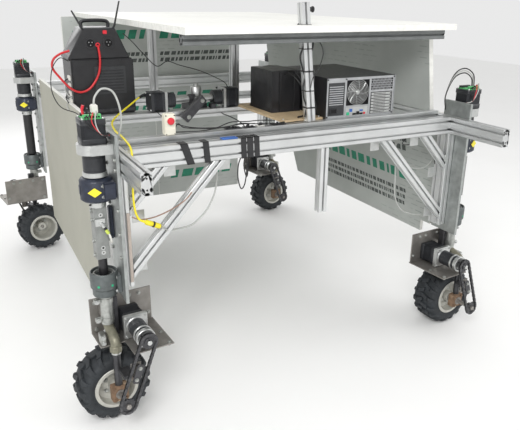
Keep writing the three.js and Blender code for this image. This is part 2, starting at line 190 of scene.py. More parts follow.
def make_materials():
    bright = (0.68, 0.69, 0.69)
    return {
        "alu_x": brushed("aluminium_x", bright, 0.34, "X"),
        "alu_y": brushed("aluminium_y", bright, 0.34, "Y"),
        "alu_z": brushed("aluminium_z", bright, 0.34, "Z"),
        "slot": worn("slot_shadow", (0.20, 0.21, 0.21), 0.6, 0.7),
        "plate": worn("galvanised_plate", (0.40, 0.42, 0.41), 0.42, 0.85, 0.22, 30, 0.0002, 500),
        "silver": worn("machined_silver", (0.58, 0.59, 0.58), 0.33, 0.9, 0.12, 40, 0.0001, 900),
        "brown_steel": worn("bare_steel", (0.30, 0.285, 0.265), 0.5, 0.75, 0.25, 18, 0.0003, 420,
                            stain=(0.30, 0.22, 0.16), stain_share=0.4),
        "zinc": worn("zinc_tube", (0.42, 0.43, 0.41), 0.36, 0.85, 0.25, 60, 0.0003, 260),
        "olive": worn("pipe_elbow", (0.26, 0.25, 0.19), 0.45, 0.7, 0.3, 40, 0.0006, 300,
                      stain=(0.34, 0.20, 0.10), stain_share=0.42),
        "rust": worn("rusty_block", (0.26, 0.17, 0.11), 0.8, 0.3, 0.35, 60, 0.0010, 260,
                     stain=(0.52, 0.40, 0.28), stain_share=0.45),
        "dark_steel": worn("dark_steel", (0.075, 0.075, 0.08), 0.4, 0.7, 0.3, 40, 0.0003, 500),
        "chain": worn("oiled_chain", (0.10, 0.10, 0.105), 0.3, 0.9, 0.4, 90, 0.0002, 700),
        "motor": worn("motor_black", (0.022, 0.024, 0.028), 0.42, 0.15, 0.3, 30, 0.00015, 700, coat=0.15),
        "laminate": worn("motor_laminate", (0.035, 0.037, 0.042), 0.5, 0.5, 0.25, 30, 0.0004, 900,
                         (0.05, 0.05, 1)),
        "navy": worn("bearing_casting", (0.020, 0.026, 0.045), 0.5, 0.25, 0.35, 40, 0.0008, 320, coat=0.2),
        "casting": worn("grey_casting", (0.13, 0.145, 0.145), 0.45, 0.6, 0.22, 45, 0.0008, 300),
        "yellow_patch": worn("yellow_patch", (0.86, 0.74, 0.03), 0.45),
        "green_mark": worn("green_mark", (0.02, 0.42, 0.20), 0.5),
        "pcb": worn("terminal_green", (0.10, 0.48, 0.16), 0.45, 0, 0.25, 120),
        "pcb_blue": worn("circuit_blue", (0.03, 0.12, 0.30), 0.45, 0, 0.25, 120),
        "copper": worn("copper_tape", (0.62, 0.36, 0.30), 0.4, 0.6),
        "rubber": worn("tyre_rubber", (0.022, 0.026, 0.030), 0.68, 0, 0.3, 25, 0.0005, 260,
                       stain=(0.085, 0.085, 0.08), stain_share=0.34),
        "rim": worn("rim_paint", (0.50, 0.495, 0.45), 0.45, 0.25, 0.14, 30, 0.0003, 300,
                    stain=(0.36, 0.33, 0.27), stain_share=0.32),
        "khaki": worn("board_outside", (0.375, 0.37, 0.31), 0.62, 0, 0.06, 3, 0.0006, 110),
        "white": worn("board_white", (0.83, 0.83, 0.79), 0.55, 0, 0.05, 3, 0.0004, 140),
        "foam": worn("board_edge", (0.78, 0.78, 0.74), 0.8, 0, 0.1, 60, 0.0016, 380),
        "print_x": printed("board_print_x", (0.44, 0.46, 0.44), (0.05, 0.10, 0.07), "X"),
        # The same board print made darker for the right-hand panels' inner faces: painted shade.
        "shaded_print_y": printed("board_print_shaded", (0.40, 0.42, 0.40), (0.05, 0.10, 0.07), "Y"),
        "ink_green": worn("ink_green", (0.02, 0.22, 0.13), 0.55, 0, 0.25, 30),
        "ink_dark": worn("ink_dark", (0.07, 0.08, 0.075), 0.55, 0, 0.25, 30),
        "sleeve": worn("sleeve_grey", (0.30, 0.31, 0.30), 0.42, 0.8, 0.2, 30),
        "tan": worn("tan_strip", (0.50, 0.43, 0.38), 0.5),
        "plywood": worn("plywood", (0.55, 0.42, 0.26), 0.62, 0, 0.16, 14, 0.0004, 200, (1, 0.05, 1)),
        "sheet": worn("zinc_sheet", (0.46, 0.47, 0.48), 0.4, 0.8, 0.14, 40, 0.0002, 500),
        "grille": worn("grille_dark", (0.05, 0.052, 0.055), 0.5, 0.4),
        # Near-black painted shade, laid into holes, slits, socket openings and behind the case's openings,
        # where no light reaches.
        "hole_shade": worn("painted_hole_shade", (0.004, 0.004, 0.005), 0.9, 0, 0.1),
        "black": worn("black_plastic", (0.014, 0.014, 0.016), 0.36, 0, 0.3, 30, 0.0003, 500, coat=0.1),
        "black_matte": worn("black_wrap", (0.012, 0.012, 0.014), 0.5, 0, 0.3, 14, 0.0012, 60, coat=0.3),
        "cream": worn("cream_plastic", (0.76, 0.73, 0.62), 0.42, 0, 0.06),
        "red": worn("red_plastic", (0.60, 0.015, 0.03), 0.3, 0, 0.15, coat=0.3),
        "yellow_cable": worn("yellow_cable", (0.80, 0.68, 0.02), 0.42, 0, 0.12, coat=0.1),
        "red_cable": worn("red_cable", (0.55, 0.015, 0.02), 0.38, 0, 0.2, coat=0.2),
        "grey_cable": worn("grey_cable", (0.42, 0.43, 0.41), 0.5, 0, 0.12),
        "white_cable": worn("white_cable", (0.72, 0.71, 0.66), 0.5, 0, 0.1),
        "brown_cable": worn("brown_cable", (0.32, 0.20, 0.15), 0.5, 0, 0.15),
        "black_cable": worn("black_cable", (0.012, 0.012, 0.013), 0.45, 0, 0.2),
        "blue": worn("blue_plastic", (0.03, 0.12, 0.42), 0.4, 0, 0.15),
        "lime": worn("sensor_tip", (0.52, 0.62, 0.10), 0.4),
        "floor": worn("floor", (0.90, 0.90, 0.89), 0.7, 0, 0.01, 2, 0.0001, 40),
    }


LOOKS = make_materials()


# ---- Mesh code --------------------------------------------------------------------------------------------
class Shape:
    """Collects closed forms, in millimetres of its own plan, and becomes one piece of several materials."""

    def __init__(self, name, plan=PLAN):
        self.name, self.plan = name, plan
        self.points, self.faces, self.looks, self.indices = [], [], [], []

    def take(self, part, look, plan=None):
        """Adds what a bmesh holds. look is a material's name, or a function of a face that gives one."""
        matrix = self.plan @ (plan or Matrix.Identity(4))
        start = len(self.points)
        part.verts.index_update()
        self.points += [matrix @ v.co for v in part.verts]
        for face in part.faces:
            chosen = look(face) if callable(look) else look
            if chosen not in self.looks:
                self.looks.append(chosen)
            self.faces.append([start + v.index for v in face.verts])
            self.indices.append(self.looks.index(chosen))
        part.free()

    def box(self, x0, x1, y0, y1, z0, z1, look, bevel=0.8, plan=None):
        part = bmesh.new()
        bmesh.ops.create_cube(part, size=1)
        size = (abs(x1 - x0), abs(y1 - y0), abs(z1 - z0))
        bmesh.ops.scale(part, vec=size, verts=part.verts)
        bmesh.ops.translate(part, vec=((x0 + x1) / 2, (y0 + y1) / 2, (z0 + z1) / 2), verts=part.verts)
        if bevel:
            width = min(bevel, min(size) * 0.3)
            bmesh.ops.bevel(part, geom=part.edges[:], offset=width, segments=1 if width < 2 else 2,
                            affect="EDGES")
        self.take(part, look, plan)

    def turned(self, outline, place, axis, look, segments=24, plan=None):
        """A turned piece: outline is (radius, distance along the axis) from end to end."""
        part = bmesh.new()
        turn = Vector(axis).to_track_quat("Z", "Y").to_matrix().to_4x4()
        move = Matrix.Translation(place) @ turn
        rings = []
        for radius, along in outline:
            if radius < 1e-6:
                rings.append([part.verts.new(move @ Vector((0, 0, along)))])
                continue
            ring = []
            for i in range(segments):
                a = 2 * math.pi * i / segments
                ring.append(part.verts.new(move @ Vector((radius * math.cos(a), radius * math.sin(a),
                                                          along))))
            rings.append(ring)
        for low, high in zip(rings, rings[1:]):
            for i in range(segments):
                j = (i + 1) % segments
                corners = [low[i % len(low)], low[j % len(low)], high[j % len(high)], high[i % len(high)]]
                unique = list(dict.fromkeys(corners))
                if len(unique) > 2:
                    part.faces.new(unique)
        bmesh.ops.recalc_face_normals(part, faces=part.faces)
        self.take(part, look, plan)

    def rod(self, place, axis, length, radius, look, segments=20, chamfer=0.8, plan=None):
        """A cylinder with chamfered ends, from a place along an axis."""
        c = min(chamfer, radius * 0.4, length * 0.4)
        outline = [(0, 0), (radius - c, 0), (radius, c), (radius, length - c), (radius - c, length),
                   (0, length)]
        self.turned(outline, place, axis, look, segments, plan)

    def ring(self, place, axis, length, inner, outer, look, segments=28, chamfer=0.8, plan=None):
        c = min(chamfer, (outer - inner) * 0.3, length * 0.3)
        outline = [(inner, 0), (outer - c, 0), (outer, c), (outer, length - c), (outer - c, length),
                   (inner, length),
                   (inner, 0)]
        self.turned(outline, place, axis, look, segments, plan)

    def slab(self, outline, low, high, normal, look, bevel=0.6, plan=None):
        """A flat outline made thick along an axis: 'X' takes (y, z) points, 'Y' (x, z) and 'Z' (x, y)."""
        part = bmesh.new()
        spots = {"X": lambda a, b, t: (t, a, b), "Y": lambda a, b, t: (a, t, b), "Z": lambda a, b,
                 t: (a, b, t)}[normal]
        base = [part.verts.new(spots(a, b, low)) for a, b in outline]
        face = part.faces.new(base)
        made = bmesh.ops.extrude_face_region(part, geom=[face])
        moved = [v for v in made["geom"] if isinstance(v, bmesh.types.BMVert)]
        shift = Vector(spots(0, 0, high)) - Vector(spots(0, 0, low))
        bmesh.ops.translate(part, vec=shift, verts=moved)
        bmesh.ops.recalc_face_normals(part, faces=part.faces)
        if bevel:
            rim = [e for e in part.edges if len(e.link_faces) == 2 and e.calc_face_angle() > 0.6]
            bmesh.ops.bevel(part, geom=rim, offset=bevel, segments=1, affect="EDGES", clamp_overlap=True)
        self.take(part, look, plan)

    def tube(self, points, radius, look, sides=10, plan=None):
        """A tube through a list of points, closed at both ends; radius is a number or a function."""
        part = bmesh.new()
        spots = [Vector(p) for p in points]
        normal = None
        rings = []
        for i, spot in enumerate(spots):
            ahead = (spots[min(i + 1, len(spots) - 1)] - spots[max(i - 1, 0)]).normalized()
            if normal is None:
                normal = ahead.orthogonal().normalized()
            normal = (normal - ahead * normal.dot(ahead)).normalized()
            other = ahead.cross(normal)
            r = radius(i / (len(spots) - 1)) if callable(radius) else radius
            rings.append([part.verts.new(spot + (normal * math.cos(a) + other * math.sin(a)) * r)
                          for a in (2 * math.pi * k / sides for k in range(sides))])
        for low, high in zip(rings, rings[1:]):
            for i in range(sides):
                j = (i + 1) % sides
                part.faces.new((low[i], low[j], high[j], high[i]))
        part.faces.new(rings[0][::-1])
        part.faces.new(rings[-1])
        self.take(part, look, plan)

    def bolt(self, place, axis, size, look="silver", plan=None, washer=True, length=None):
        """A hex bolt's head on a washer. size is the thread's diameter."""
        spot, out = Vector(place), Vector(axis).normalized()
        if washer:
            self.ring(spot, out, size * 0.2, size * 0.4, size * 1.1, look, 18, 0.2, plan)
        self.rod(spot + out * size * 0.18, out, length or size * 0.66, size * 0.86, look, 6, size * 0.12,
                 plan)

    def socket_screw(self, place, axis, size, look="dark_steel", plan=None):
        spot, out = Vector(place), Vector(axis).normalized()
        head = size * 0.78
        outline = [(0, 0), (head, 0), (head, size * 0.85), (head * 0.9, size), (head * 0.5, size),
                   (head * 0.42, size * 0.5), (0, size * 0.5)]
        self.turned(outline, spot, out, look, 14, plan)

    def piece(self, body, replaces=(), slot=None, smooth=35):
        mesh = bpy.data.meshes.new(self.name)
        mesh.from_pydata(self.points, [], self.faces)
        for look in self.looks:
            mesh.materials.append(LOOKS[look])
        mesh.polygons.foreach_set("material_index", self.indices)
        mesh.update()
        mesh.validate()
        mesh.shade_smooth()
        mesh.set_sharp_from_angle(angle=math.radians(smooth))
        made = bpy.data.objects.new(self.name, mesh)
        bpy.context.scene.collection.objects.link(made)
        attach(made, body)
        if replaces:
            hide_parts(*replaces)
        return made


def smooth_route(points, steps=6):
    """More points along a Catmull-Rom curve through the given ones."""
    p = [Vector(q) for q in points]
    p = [p[0] * 2 - p[1], *p, p[-1] * 2 - p[-2]]
    route = []
    for a, b, c, d in zip(p, p[1:], p[2:], p[3:]):
        for i in range(steps):
            t = i / steps
            route.append(0.5 * (2 * b + (c - a) * t + (2 * a - 5 * b + 4 * c - d) * t ** 2
                                + (3 * b - a - 3 * c + d) * t ** 3))
    route.append(p[-2])
    return route


# ---- Camera and light -------------------------------------------------------------------------------------
def make_camera():
    yaw, pitch, roll = math.radians(27.22), math.radians(-20.0), math.radians(0.63)
    ahead = Vector((math.sin(yaw) * math.cos(pitch), math.cos(yaw) * math.cos(pitch), math.sin(pitch)))
    level = Vector((math.cos(yaw), -math.sin(yaw), 0))
    rise = level.cross(ahead)
    right = level * math.cos(roll) + rise * math.sin(roll)
    up = rise * math.cos(roll) - level * math.sin(roll)
    data = bpy.data.cameras.new("camera")
    data.sensor_width, data.lens = 36, 41.62
    data.clip_end = 100
    camera = bpy.data.objects.new("camera", data)
    turn = Matrix((right, up, -ahead)).transposed().to_4x4()
    camera.matrix_world = Matrix.Translation(at(-1283.8, -2058.1, 1603.0)) @ turn
    bpy.context.scene.collection.objects.link(camera)
    bpy.context.scene.camera = camera


def make_light():
    world = bpy.data.worlds.new("world")
    world.use_nodes = True
    world.node_tree.nodes["Background"].inputs[0].default_value = (1, 1, 1, 1)
    world.node_tree.nodes["Background"].inputs[1].default_value = 0.82
    bpy.context.scene.world = world
    for name, place, target, size, power in (
        ("key", (-2600, -3200, 3600), (0, 600, 700), 2.0, 150),
        ("fill", (3800, -1800, 2600), (0, 800, 700), 3.0, 45),
        ("back", (-600, 5200, 3400), (0, 900, 900), 3.0, 60),
    ):
        data = bpy.data.lights.new(name, "AREA")
        data.size, data.energy = size, power
        lamp = bpy.data.objects.new(name, data)
        aim = (at(*target) - at(*place)).to_track_quat("-Z", "Y").to_matrix().to_4x4()
        lamp.matrix_world = Matrix.Translation(at(*place)) @ aim
        bpy.context.scene.collection.objects.link(lamp)
    floor = bpy.data.meshes.new("floor")
    reach, low = 12, -0.0005
    floor.from_pydata([(-reach, -reach, low), (reach, -reach, low), (reach, reach, low),
                       (-reach, reach, low)],
                      [], [(0, 1, 2, 3)])
    floor.materials.append(LOOKS["floor"])
    ground = bpy.data.objects.new("floor", floor)
    bpy.context.scene.collection.objects.link(ground)
    bpy.context.scene.view_settings.view_transform = "Standard"


make_camera()
make_light()


# ---- Cords ------------------------------------------------------------------------------------------------
def cord(name, route, diameter, look, body="frame",
         replaces=()):
    """A free cord along a route: one open spline through close points of a smooth curve."""
    spots = [at(*p) for p in smooth_route(route, 5)]
    curve = bpy.data.curves.new(name, "CURVE")
    curve.dimensions = "3D"
    curve.bevel_depth = diameter * MM / 2
    curve.bevel_resolution = 3
    curve.use_fill_caps = True
    spline = curve.splines.new("POLY")
    spline.points.add(len(spots) - 1)
    for point, spot in zip(spline.points, spots):
        point.co = (*spot, 1)
    curve.materials.append(LOOKS[look])
    made = bpy.data.objects.new(name, curve)
    bpy.context.scene.collection.objects.link(made)
    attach(made, body)
    if replaces:
        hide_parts(*replaces)
    return made


def make_cords():
    connector = Shape("yellow_connector")
    tip, tail = Vector((-712, -30, 819)), Vector((-652, -30, 790))
    out = (tail - tip).normalized()
    connector.turned([(0, -14), (4.4, -14), (5.5, -4), (9, 0), (10, 2), (10, 26), (8.5, 28), (8.5, 36),
                      (10, 38),
                      (10, 56), (8, 60), (4, 62), (0, 62)], tip, out, "yellow_cable", 18)
    connector.ring(tip + out * 29, out, 6, 8.5, 11.5, "black", 18)
    connector.piece("frame", slot="yellow_cable")
    yellow = [(-520, 640, 1165), (-578, 590, 1142), (-650, 505, 1122), (-715, 365, 1117), (-746, 200, 1118),
              (-748, 104, 1117), (-746, 40, 1108), (-745, 0, 1099), (-745, -20, 1076), (-748, -24, 1000),
              (-751, -24, 930), (-748, -26, 868), (-735, -28, 832), (-712, -30, 819)]
    relief = Shape("yellow_strain_relief")
    relief.tube(smooth_route([(-489, 652, 1172), (-505, 646, 1170), (-521, 639, 1164.5)], 5),
                lambda t: 9 - 4 * t, "black", 14)
    relief.piece("frame", slot="black_plastic")
    cord("yellow_cord_skin", yellow, 8, "yellow_cable",
         replaces=["yellow_cord"])
    red = [(-676, 690, 1395), (-673, 686, 1331), (-686, 684, 1267), (-726, 684, 1212), (-771, 684, 1197),
           (-812, 684, 1217), (-850, 686, 1262), (-877, 690, 1305), (-868, 700, 1340), (-835, 706, 1362),
           (-797, 712, 1372)]
    cord("red_cord_skin", red, 10, "red_cable", replaces=["red_cord"])


make_cords()


# ---- Slotted profiles -------------------------------------------------------------------------------------
def profile_outline(columns, rows):
    """The outline of a slotted bar, in millimetres round its centre: lipped slots in its free faces."""
    lip, mouth, pocket, depth = 2.4, 4.1, 9.6, 10.5
    width, height = columns * PITCH / 2, rows * PITCH / 2

    def side(length, modules):
        points = []
        for i in range(modules):
            middle = -length / 2 + PITCH * (i + 0.5)
            points += [(middle - mouth - 0.6, 0), (middle - mouth, 0.6), (middle - mouth, lip),
                       (middle - pocket, lip),
                       (middle - pocket + 5.6, depth), (middle + pocket - 5.6, depth), (middle + pocket, lip),
                       (middle + mouth, lip), (middle + mouth, 0.6), (middle + mouth + 0.6, 0)]
        return points

    corner = 1.6
    outline = []
    for length, modules, offset, turn in ((2 * width, columns, height, 0), (2 * height, rows, width, 1),
                                          (2 * width, columns, height, 2), (2 * height, rows, width, 3)):
        a = turn * math.pi / 2
        for along, inward in [(-length / 2 + corner, 0), *side(length, modules), (length / 2 - corner, 0)]:
            x, y = along, -offset + inward
            outline.append((x * math.cos(a) - y * math.sin(a), x * math.sin(a) + y * math.cos(a)))
    return outline


def profile_bar(shape, start, end, across, columns, rows, look, cut_start=None, cut_end=None):
    """A slotted bar between two places; across is the way its columns go, a cut a mitred end's normal."""
    a, b = Vector(start), Vector(end)
    along = (b - a).normalized()
    x_way = Vector(across).normalized()
    y_way = along.cross(x_way)
    part = bmesh.new()
    outline = profile_outline(columns, rows)
    ends = []
    for spot, normal in ((a, cut_start), (b, cut_end)):
        ring = []
        for u, v in outline:
            p = spot + x_way * u + y_way * v
            if normal:
                n = Vector(normal)
                p -= along * (p - spot).dot(n) / along.dot(n)
            ring.append(part.verts.new(p))
        ends.append(ring)
    count = len(outline)
    for i in range(count):
        j = (i + 1) % count
        part.faces.new((ends[0][i], ends[0][j], ends[1][j], ends[1][i]))
    caps = [part.faces.new(ends[0][::-1]), part.faces.new(ends[1])]
    bmesh.ops.triangulate(part, faces=caps)
    bmesh.ops.recalc_face_normals(part, faces=part.faces)
    shape.take(part, look)


def end_holes(shape, centre, axis, across, columns, rows):
    """The cored holes that show on a bar's cut end, each a silver ring round a near-black disc of painted
    shade.
    """
    x_way, out = Vector(across).normalized(), Vector(axis)
    y_way = out.cross(x_way)
    for i in range(columns):
        for j in range(rows):
            aside = x_way * PITCH * (i - (columns - 1) / 2)
            spot = Vector(centre) + aside + y_way * PITCH * (j - (rows - 1) / 2)
            shape.ring(spot - out * 0.5, out, 0.9, 3.4, 4.4, "silver", 16, 0.1)
            shape.rod(spot - out * 0.6, out, 0.9, 3.4, "hole_shade", 16, 0.1)


def make_frame():
    z_mid = FRAME_MIDDLE
    bar = Shape("front_beam_bar")
    profile_bar(bar, (-760.6, 19.05, z_mid), (760.6, 19.05, z_mid), Z_AXIS, 2, 1, "alu_x")
    bar.piece("frame", ["front_beam"], "profile")
    bar = Shape("rear_beam_bar")
    profile_bar(bar, (-760.6, 1965.95, z_mid), (760.6, 1965.95, z_mid), Z_AXIS, 2, 1, "alu_x")
    bar.piece("frame", ["rear_beam"], "profile")
    for name, side in (("left_rail", -1), ("right_rail", 1)):
        bar = Shape(name + "_bar")
        profile_bar(bar, (side * RAIL_X, -308, z_mid), (side * RAIL_X, 1985, z_mid), Z_AXIS, 2, 1, "alu_y")
        end_holes(bar, (side * RAIL_X, -308, z_mid), -Y_AXIS, Z_AXIS, 2, 1)
        bar.piece("frame", [name], "profile")
    for name, side, y in (("front_left", -1, 38.1), ("front_right", 1, 38.1), ("rear_left", -1, 1946.9),
                          ("rear_right", 1, 1946.9)):
        bar = Shape(name + "_post_bar")
        profile_bar(bar, (side * RAIL_X, y, 554), (side * RAIL_X, y, 1010.5), Y_AXIS, 2, 1, "alu_z")
        end_holes(bar, (side * RAIL_X, y, 554), -Z_AXIS, Y_AXIS, 2, 1)
        bar.piece("frame", [name + "_post"], "profile")
    slope = math.radians(47.5)
    for name, side, foot in (("left_long", -1, 372), ("left_short", -1, 603), ("right_long", 1, 372),
                             ("right_short", 1, 603)):
        # The foot is the inner corner under the beam, and the low end meets the post's inner face.
        length = (760.6 - foot) / math.cos(slope)
        way = Vector((side * math.cos(slope), 0, -math.sin(slope)))
        inset = Vector((side * math.sin(slope), 0, math.cos(slope))) * PITCH / 2
        top = Vector((side * foot, 19.05, FRAME_BOTTOM - 0.5)) + inset
        low = Vector((side * 760.2, 19.05, FRAME_BOTTOM - length * math.sin(slope))) + inset
        top -= way * inset.dot(Z_AXIS) / way.z
        low -= way * inset.dot(X_AXIS) / way.x
        bar = Shape(name + "_brace_bar")
        profile_bar(bar, top, low, Y_AXIS, 1, 1, "alu_z", (0, 0, 1), (1, 0, 0))
        bar.piece("frame", [name + "_brace"], "profile")
    for name, y in (("front_cross_rail", 104), ("middle_cross_rail", 579)):
        bar = Shape(name + "_bar")
        low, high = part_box(name)
        x0, x1 = ((v.x - MIDDLE_X) / MM for v in (low, high))
        z = (low.z + high.z) / 2 / MM
        profile_bar(bar, (x0, y, z), (x1, y, z), Z_AXIS, 1, 1, "alu_x")
        bar.piece("frame", [name], "profile")
    lean = math.radians(-6)
    foot = Vector((60, 104, 1106.6))
    head = foot + Vector((math.sin(lean), 0, math.cos(lean))) * 478
    bar = Shape("mast_bar")
    profile_bar(bar, foot + (head - foot).normalized() * 3, head, Y_AXIS, 1, 1, "alu_z")
    end_holes(bar, head, (head - foot).normalized(), Y_AXIS, 1, 1)
    bar.piece("frame", ["mast"], "profile")
    bar = Shape("hanging_post_bar")
    profile_bar(bar, (79, 19.05, 726.55), (79, 19.05, 1010.5), Y_AXIS, 1, 1, "alu_z")
    end_holes(bar, (79, 19.05, 726.55), -Z_AXIS, Y_AXIS, 1, 1)
    bar.piece("frame", ["hanging_post"], "profile")


make_frame()


# ---- Boards -----------------------------------------------------------------------------------------------
def board(name, outline, low, high, normal, outside, inside, out_sign):
    """A rigid foam board: two facings of their own colours and a pale core that shows at its edges."""
    shape = Shape(name)
    axis = "XYZ".index(normal)

    def look(face):
        n = face.normal[axis]
        if abs(n) < 0.9:
            return "foam"
        return outside if n * out_sign > 0 else inside

    shape.slab(outline, low, high, normal, look, 1.2)
    return shape


def dashes(shape, place, run, flat, rows, look, seed, size):
    """Rows of slanted printed dashes of uneven length on a board's facing: a pattern, with no letters in it.

    flat gives the place of a point (along, up) on the facing."""
    draw = random.Random(seed)
    for row in range(rows):
        along = 0.0
        while along < run:
            width = draw.uniform(0.35, 1.5) * size
            up = place[1] + row * size * 1.7
            corners = [(along, up), (along + width, up), (along + width + size * 0.3, up + size),
                       (along + size * 0.3, up + size)]
            part = bmesh.new()
            low = [part.verts.new(flat(place[0] + a, b, 0.05)) for a, b in corners]
            high = [part.verts.new(flat(place[0] + a, b, 0.5)) for a, b in corners]
            part.faces.new(low)
            part.faces.new(high)
            for i in range(4):
                part.faces.new((low[i], low[(i + 1) % 4], high[(i + 1) % 4], high[i]))
            bmesh.ops.recalc_face_normals(part, faces=part.faces)
            shape.take(part, look)
            along += width + draw.uniform(0.25, 0.6) * size


def make_walls():
    left = board("left_panel_board", [(300, 305), (1645, 305), (1645, 1146), (300, 1146)], -817.4, -799.4,
                 "X", "khaki", "white", -1)
    left.piece("frame", ["left_panel"], "grey_board")
    outline = [(165, 462), (1425, 462), (1766, 1087), (100, 1087), (100, 520), (165, 520)]
    # The right panel's inner face takes the darker board print: painted shade.
    right = board("right_panel_board", outline, 799.4, 817.4, "X", "khaki", "shaded_print_y", 1)
    inner = lambda a, b, t: Vector((799.4 - t, a, b))
    marks = [
        ((330, 960), 900, 1, "ink_green", 62),
        ((330, 850), 980, 2, "ink_dark", 26),
        ((300, 700), 760, 1, "ink_green", 48),
        ((300, 560), 860, 3, "ink_dark", 20),
    ]
    for seed, (place, run, count, look, size) in enumerate(marks, 4):
        dashes(right, place, run, inner, count, look, seed, size)
    right.piece("frame", ["right_panel"], "grey_board")
    upper = Shape("right_upper_panel_board")
    # Its inner face takes the darker board print: painted shade.
    upper.slab([(767, 1087.5), (792, 1087.5), (735, 1472.7), (710, 1472.7)], 150, 1800, "Y",
               lambda f: "foam" if abs(f.normal.y) > 0.9 or abs(f.normal.z) > 0.9 else
               ("khaki" if f.normal.x > 0 else "shaded_print_y"), 1.2)
    upper.piece("frame", ["right_upper_panel"], "grey_board")
    back = board("back_wall_board", [(-604, 235), (600, 235), (600, 1472.65), (-604, 1472.65)], 1985.35,
                 2010.35, "Y", "khaki", "print_x", 1)
    facing = lambda a, b, t: Vector((a, 1985.35 - t, b))
    marks = [
        ((-560, 1330), 480, 1, "ink_green", 58),
        ((-560, 1180), 500, 2, "ink_dark", 24),
        ((20, 1330), 520, 1, "ink_green", 58),
        ((20, 1180), 500, 2, "ink_dark", 24),
        ((-540, 860), 480, 1, "ink_green", 66),
        ((30, 830), 480, 2, "ink_green", 52),
        ((-540, 600), 460, 2, "ink_dark", 26),
        ((40, 560), 500, 3, "ink_dark", 22),
        ((-500, 380), 420, 1, "ink_green", 60),
        ((60, 350), 440, 1, "ink_green", 56),
    ]
    for seed, (place, run, count, look, size) in enumerate(marks, 8):
        dashes(back, place, run, facing, count, look, seed, size)
    back.box(-31.5, -28.5, 1984.6, 1985.6, 236, 1472, "foam", 0)
    back.piece("frame", ["back_wall"], "grey_board")
    roof = Shape("roof_board")
    roof_slab(roof)
    roof.piece("frame", ["roof"], "white_board")


def roof_slab(roof):
    """The roof board in four strips round the mast's opening, with two pale seams across its top."""
    x0, x1, y0, y1 = -525, 732, 0, 1985
    hx0, hx1, hy0, hy1 = -7, 48, 78, 130
    for a, b, c, d in ((x0, hx0, y0, y1), (hx1, x1, y0, y1), (hx0, hx1, y0, hy0), (hx0, hx1, hy1, y1)):
        roof.slab([(a, c), (b, c), (b, d), (a, d)], 1473, 1498, "Z",
                  lambda f: "white" if abs(f.normal.z) > 0.9 else "foam", 0)
    for y in (620, 1240):
        roof.box(x0 + 2, x1 - 2, y - 1.5, y + 1.5, 1497.6, 1498.5, "foam", 0)


make_walls()


# ---- Equipment on the deck --------------------------------------------------------------------------------
def make_deck_board():
    shape = Shape("deck_board_ply")
    for i in range(3):
        z = 1104.45 + i * 3
        shape.box(-60 + 0.3 * (i % 2), 140 - 0.3 * (i % 2), 126, 590, z, z + 3, "plywood", 0.2)
    for x, y in ((-48, 140), (128, 140), (-48, 576), (128, 576)):
        shape.socket_screw((x, y, 1113.2), Z_AXIS, 5, "silver")
    shape.piece("frame", ["deck_board"], "plywood")


def make_black_case():
    """A soft black case, wrapped, with folds in its faces."""
    part = bmesh.new()
    bmesh.ops.create_cube(part, size=1)
    bmesh.ops.scale(part, vec=(150, 220, 186), verts=part.verts)
    bmesh.ops.translate(part, vec=(55, 410, 1206.9), verts=part.verts)
    bmesh.ops.subdivide_edges(part, edges=part.edges[:], cuts=14, use_grid_fill=True)
    draw = random.Random(21)
    bumps = [(Vector((draw.uniform(-20, 130), draw.uniform(300, 520), draw.uniform(1114, 1300))),
              draw.uniform(18, 55), draw.uniform(-7, 2)) for _ in range(46)]
    middle = Vector((55, 410, 1206))
    for vert in part.verts:
        away = Vector(((vert.co.x - middle.x) / 75, (vert.co.y - middle.y) / 110,
                       (vert.co.z - middle.z) / 93))
        push = sum(depth * math.exp(-((vert.co - spot).length / reach) ** 2) for spot, reach, depth in bumps)
        round_off = -3.5 * max(0.0, away.length - 1.25) * 9
        if vert.co.z > 1116:
            vert.co += away.normalized() * min(1.0, push) + (middle - vert.co).normalized() * -round_off * 0.5
    for face in part.faces:
        face.smooth = True
    shape = Shape("black_case_bag")
    shape.take(part, "black_matte")
    shape.tube(smooth_route([(20, 298, 1296), (22, 296, 1240), (20, 297, 1180), (24, 298, 1118)], 5), 2.2,
               "black")
    shape.tube(smooth_route([(96, 298, 1292), (92, 295, 1230), (95, 297, 1180), (90, 298, 1118)], 5), 2.2,
               "black")
    shape.piece("frame", ["black_case"], "black_plastic", smooth=60)


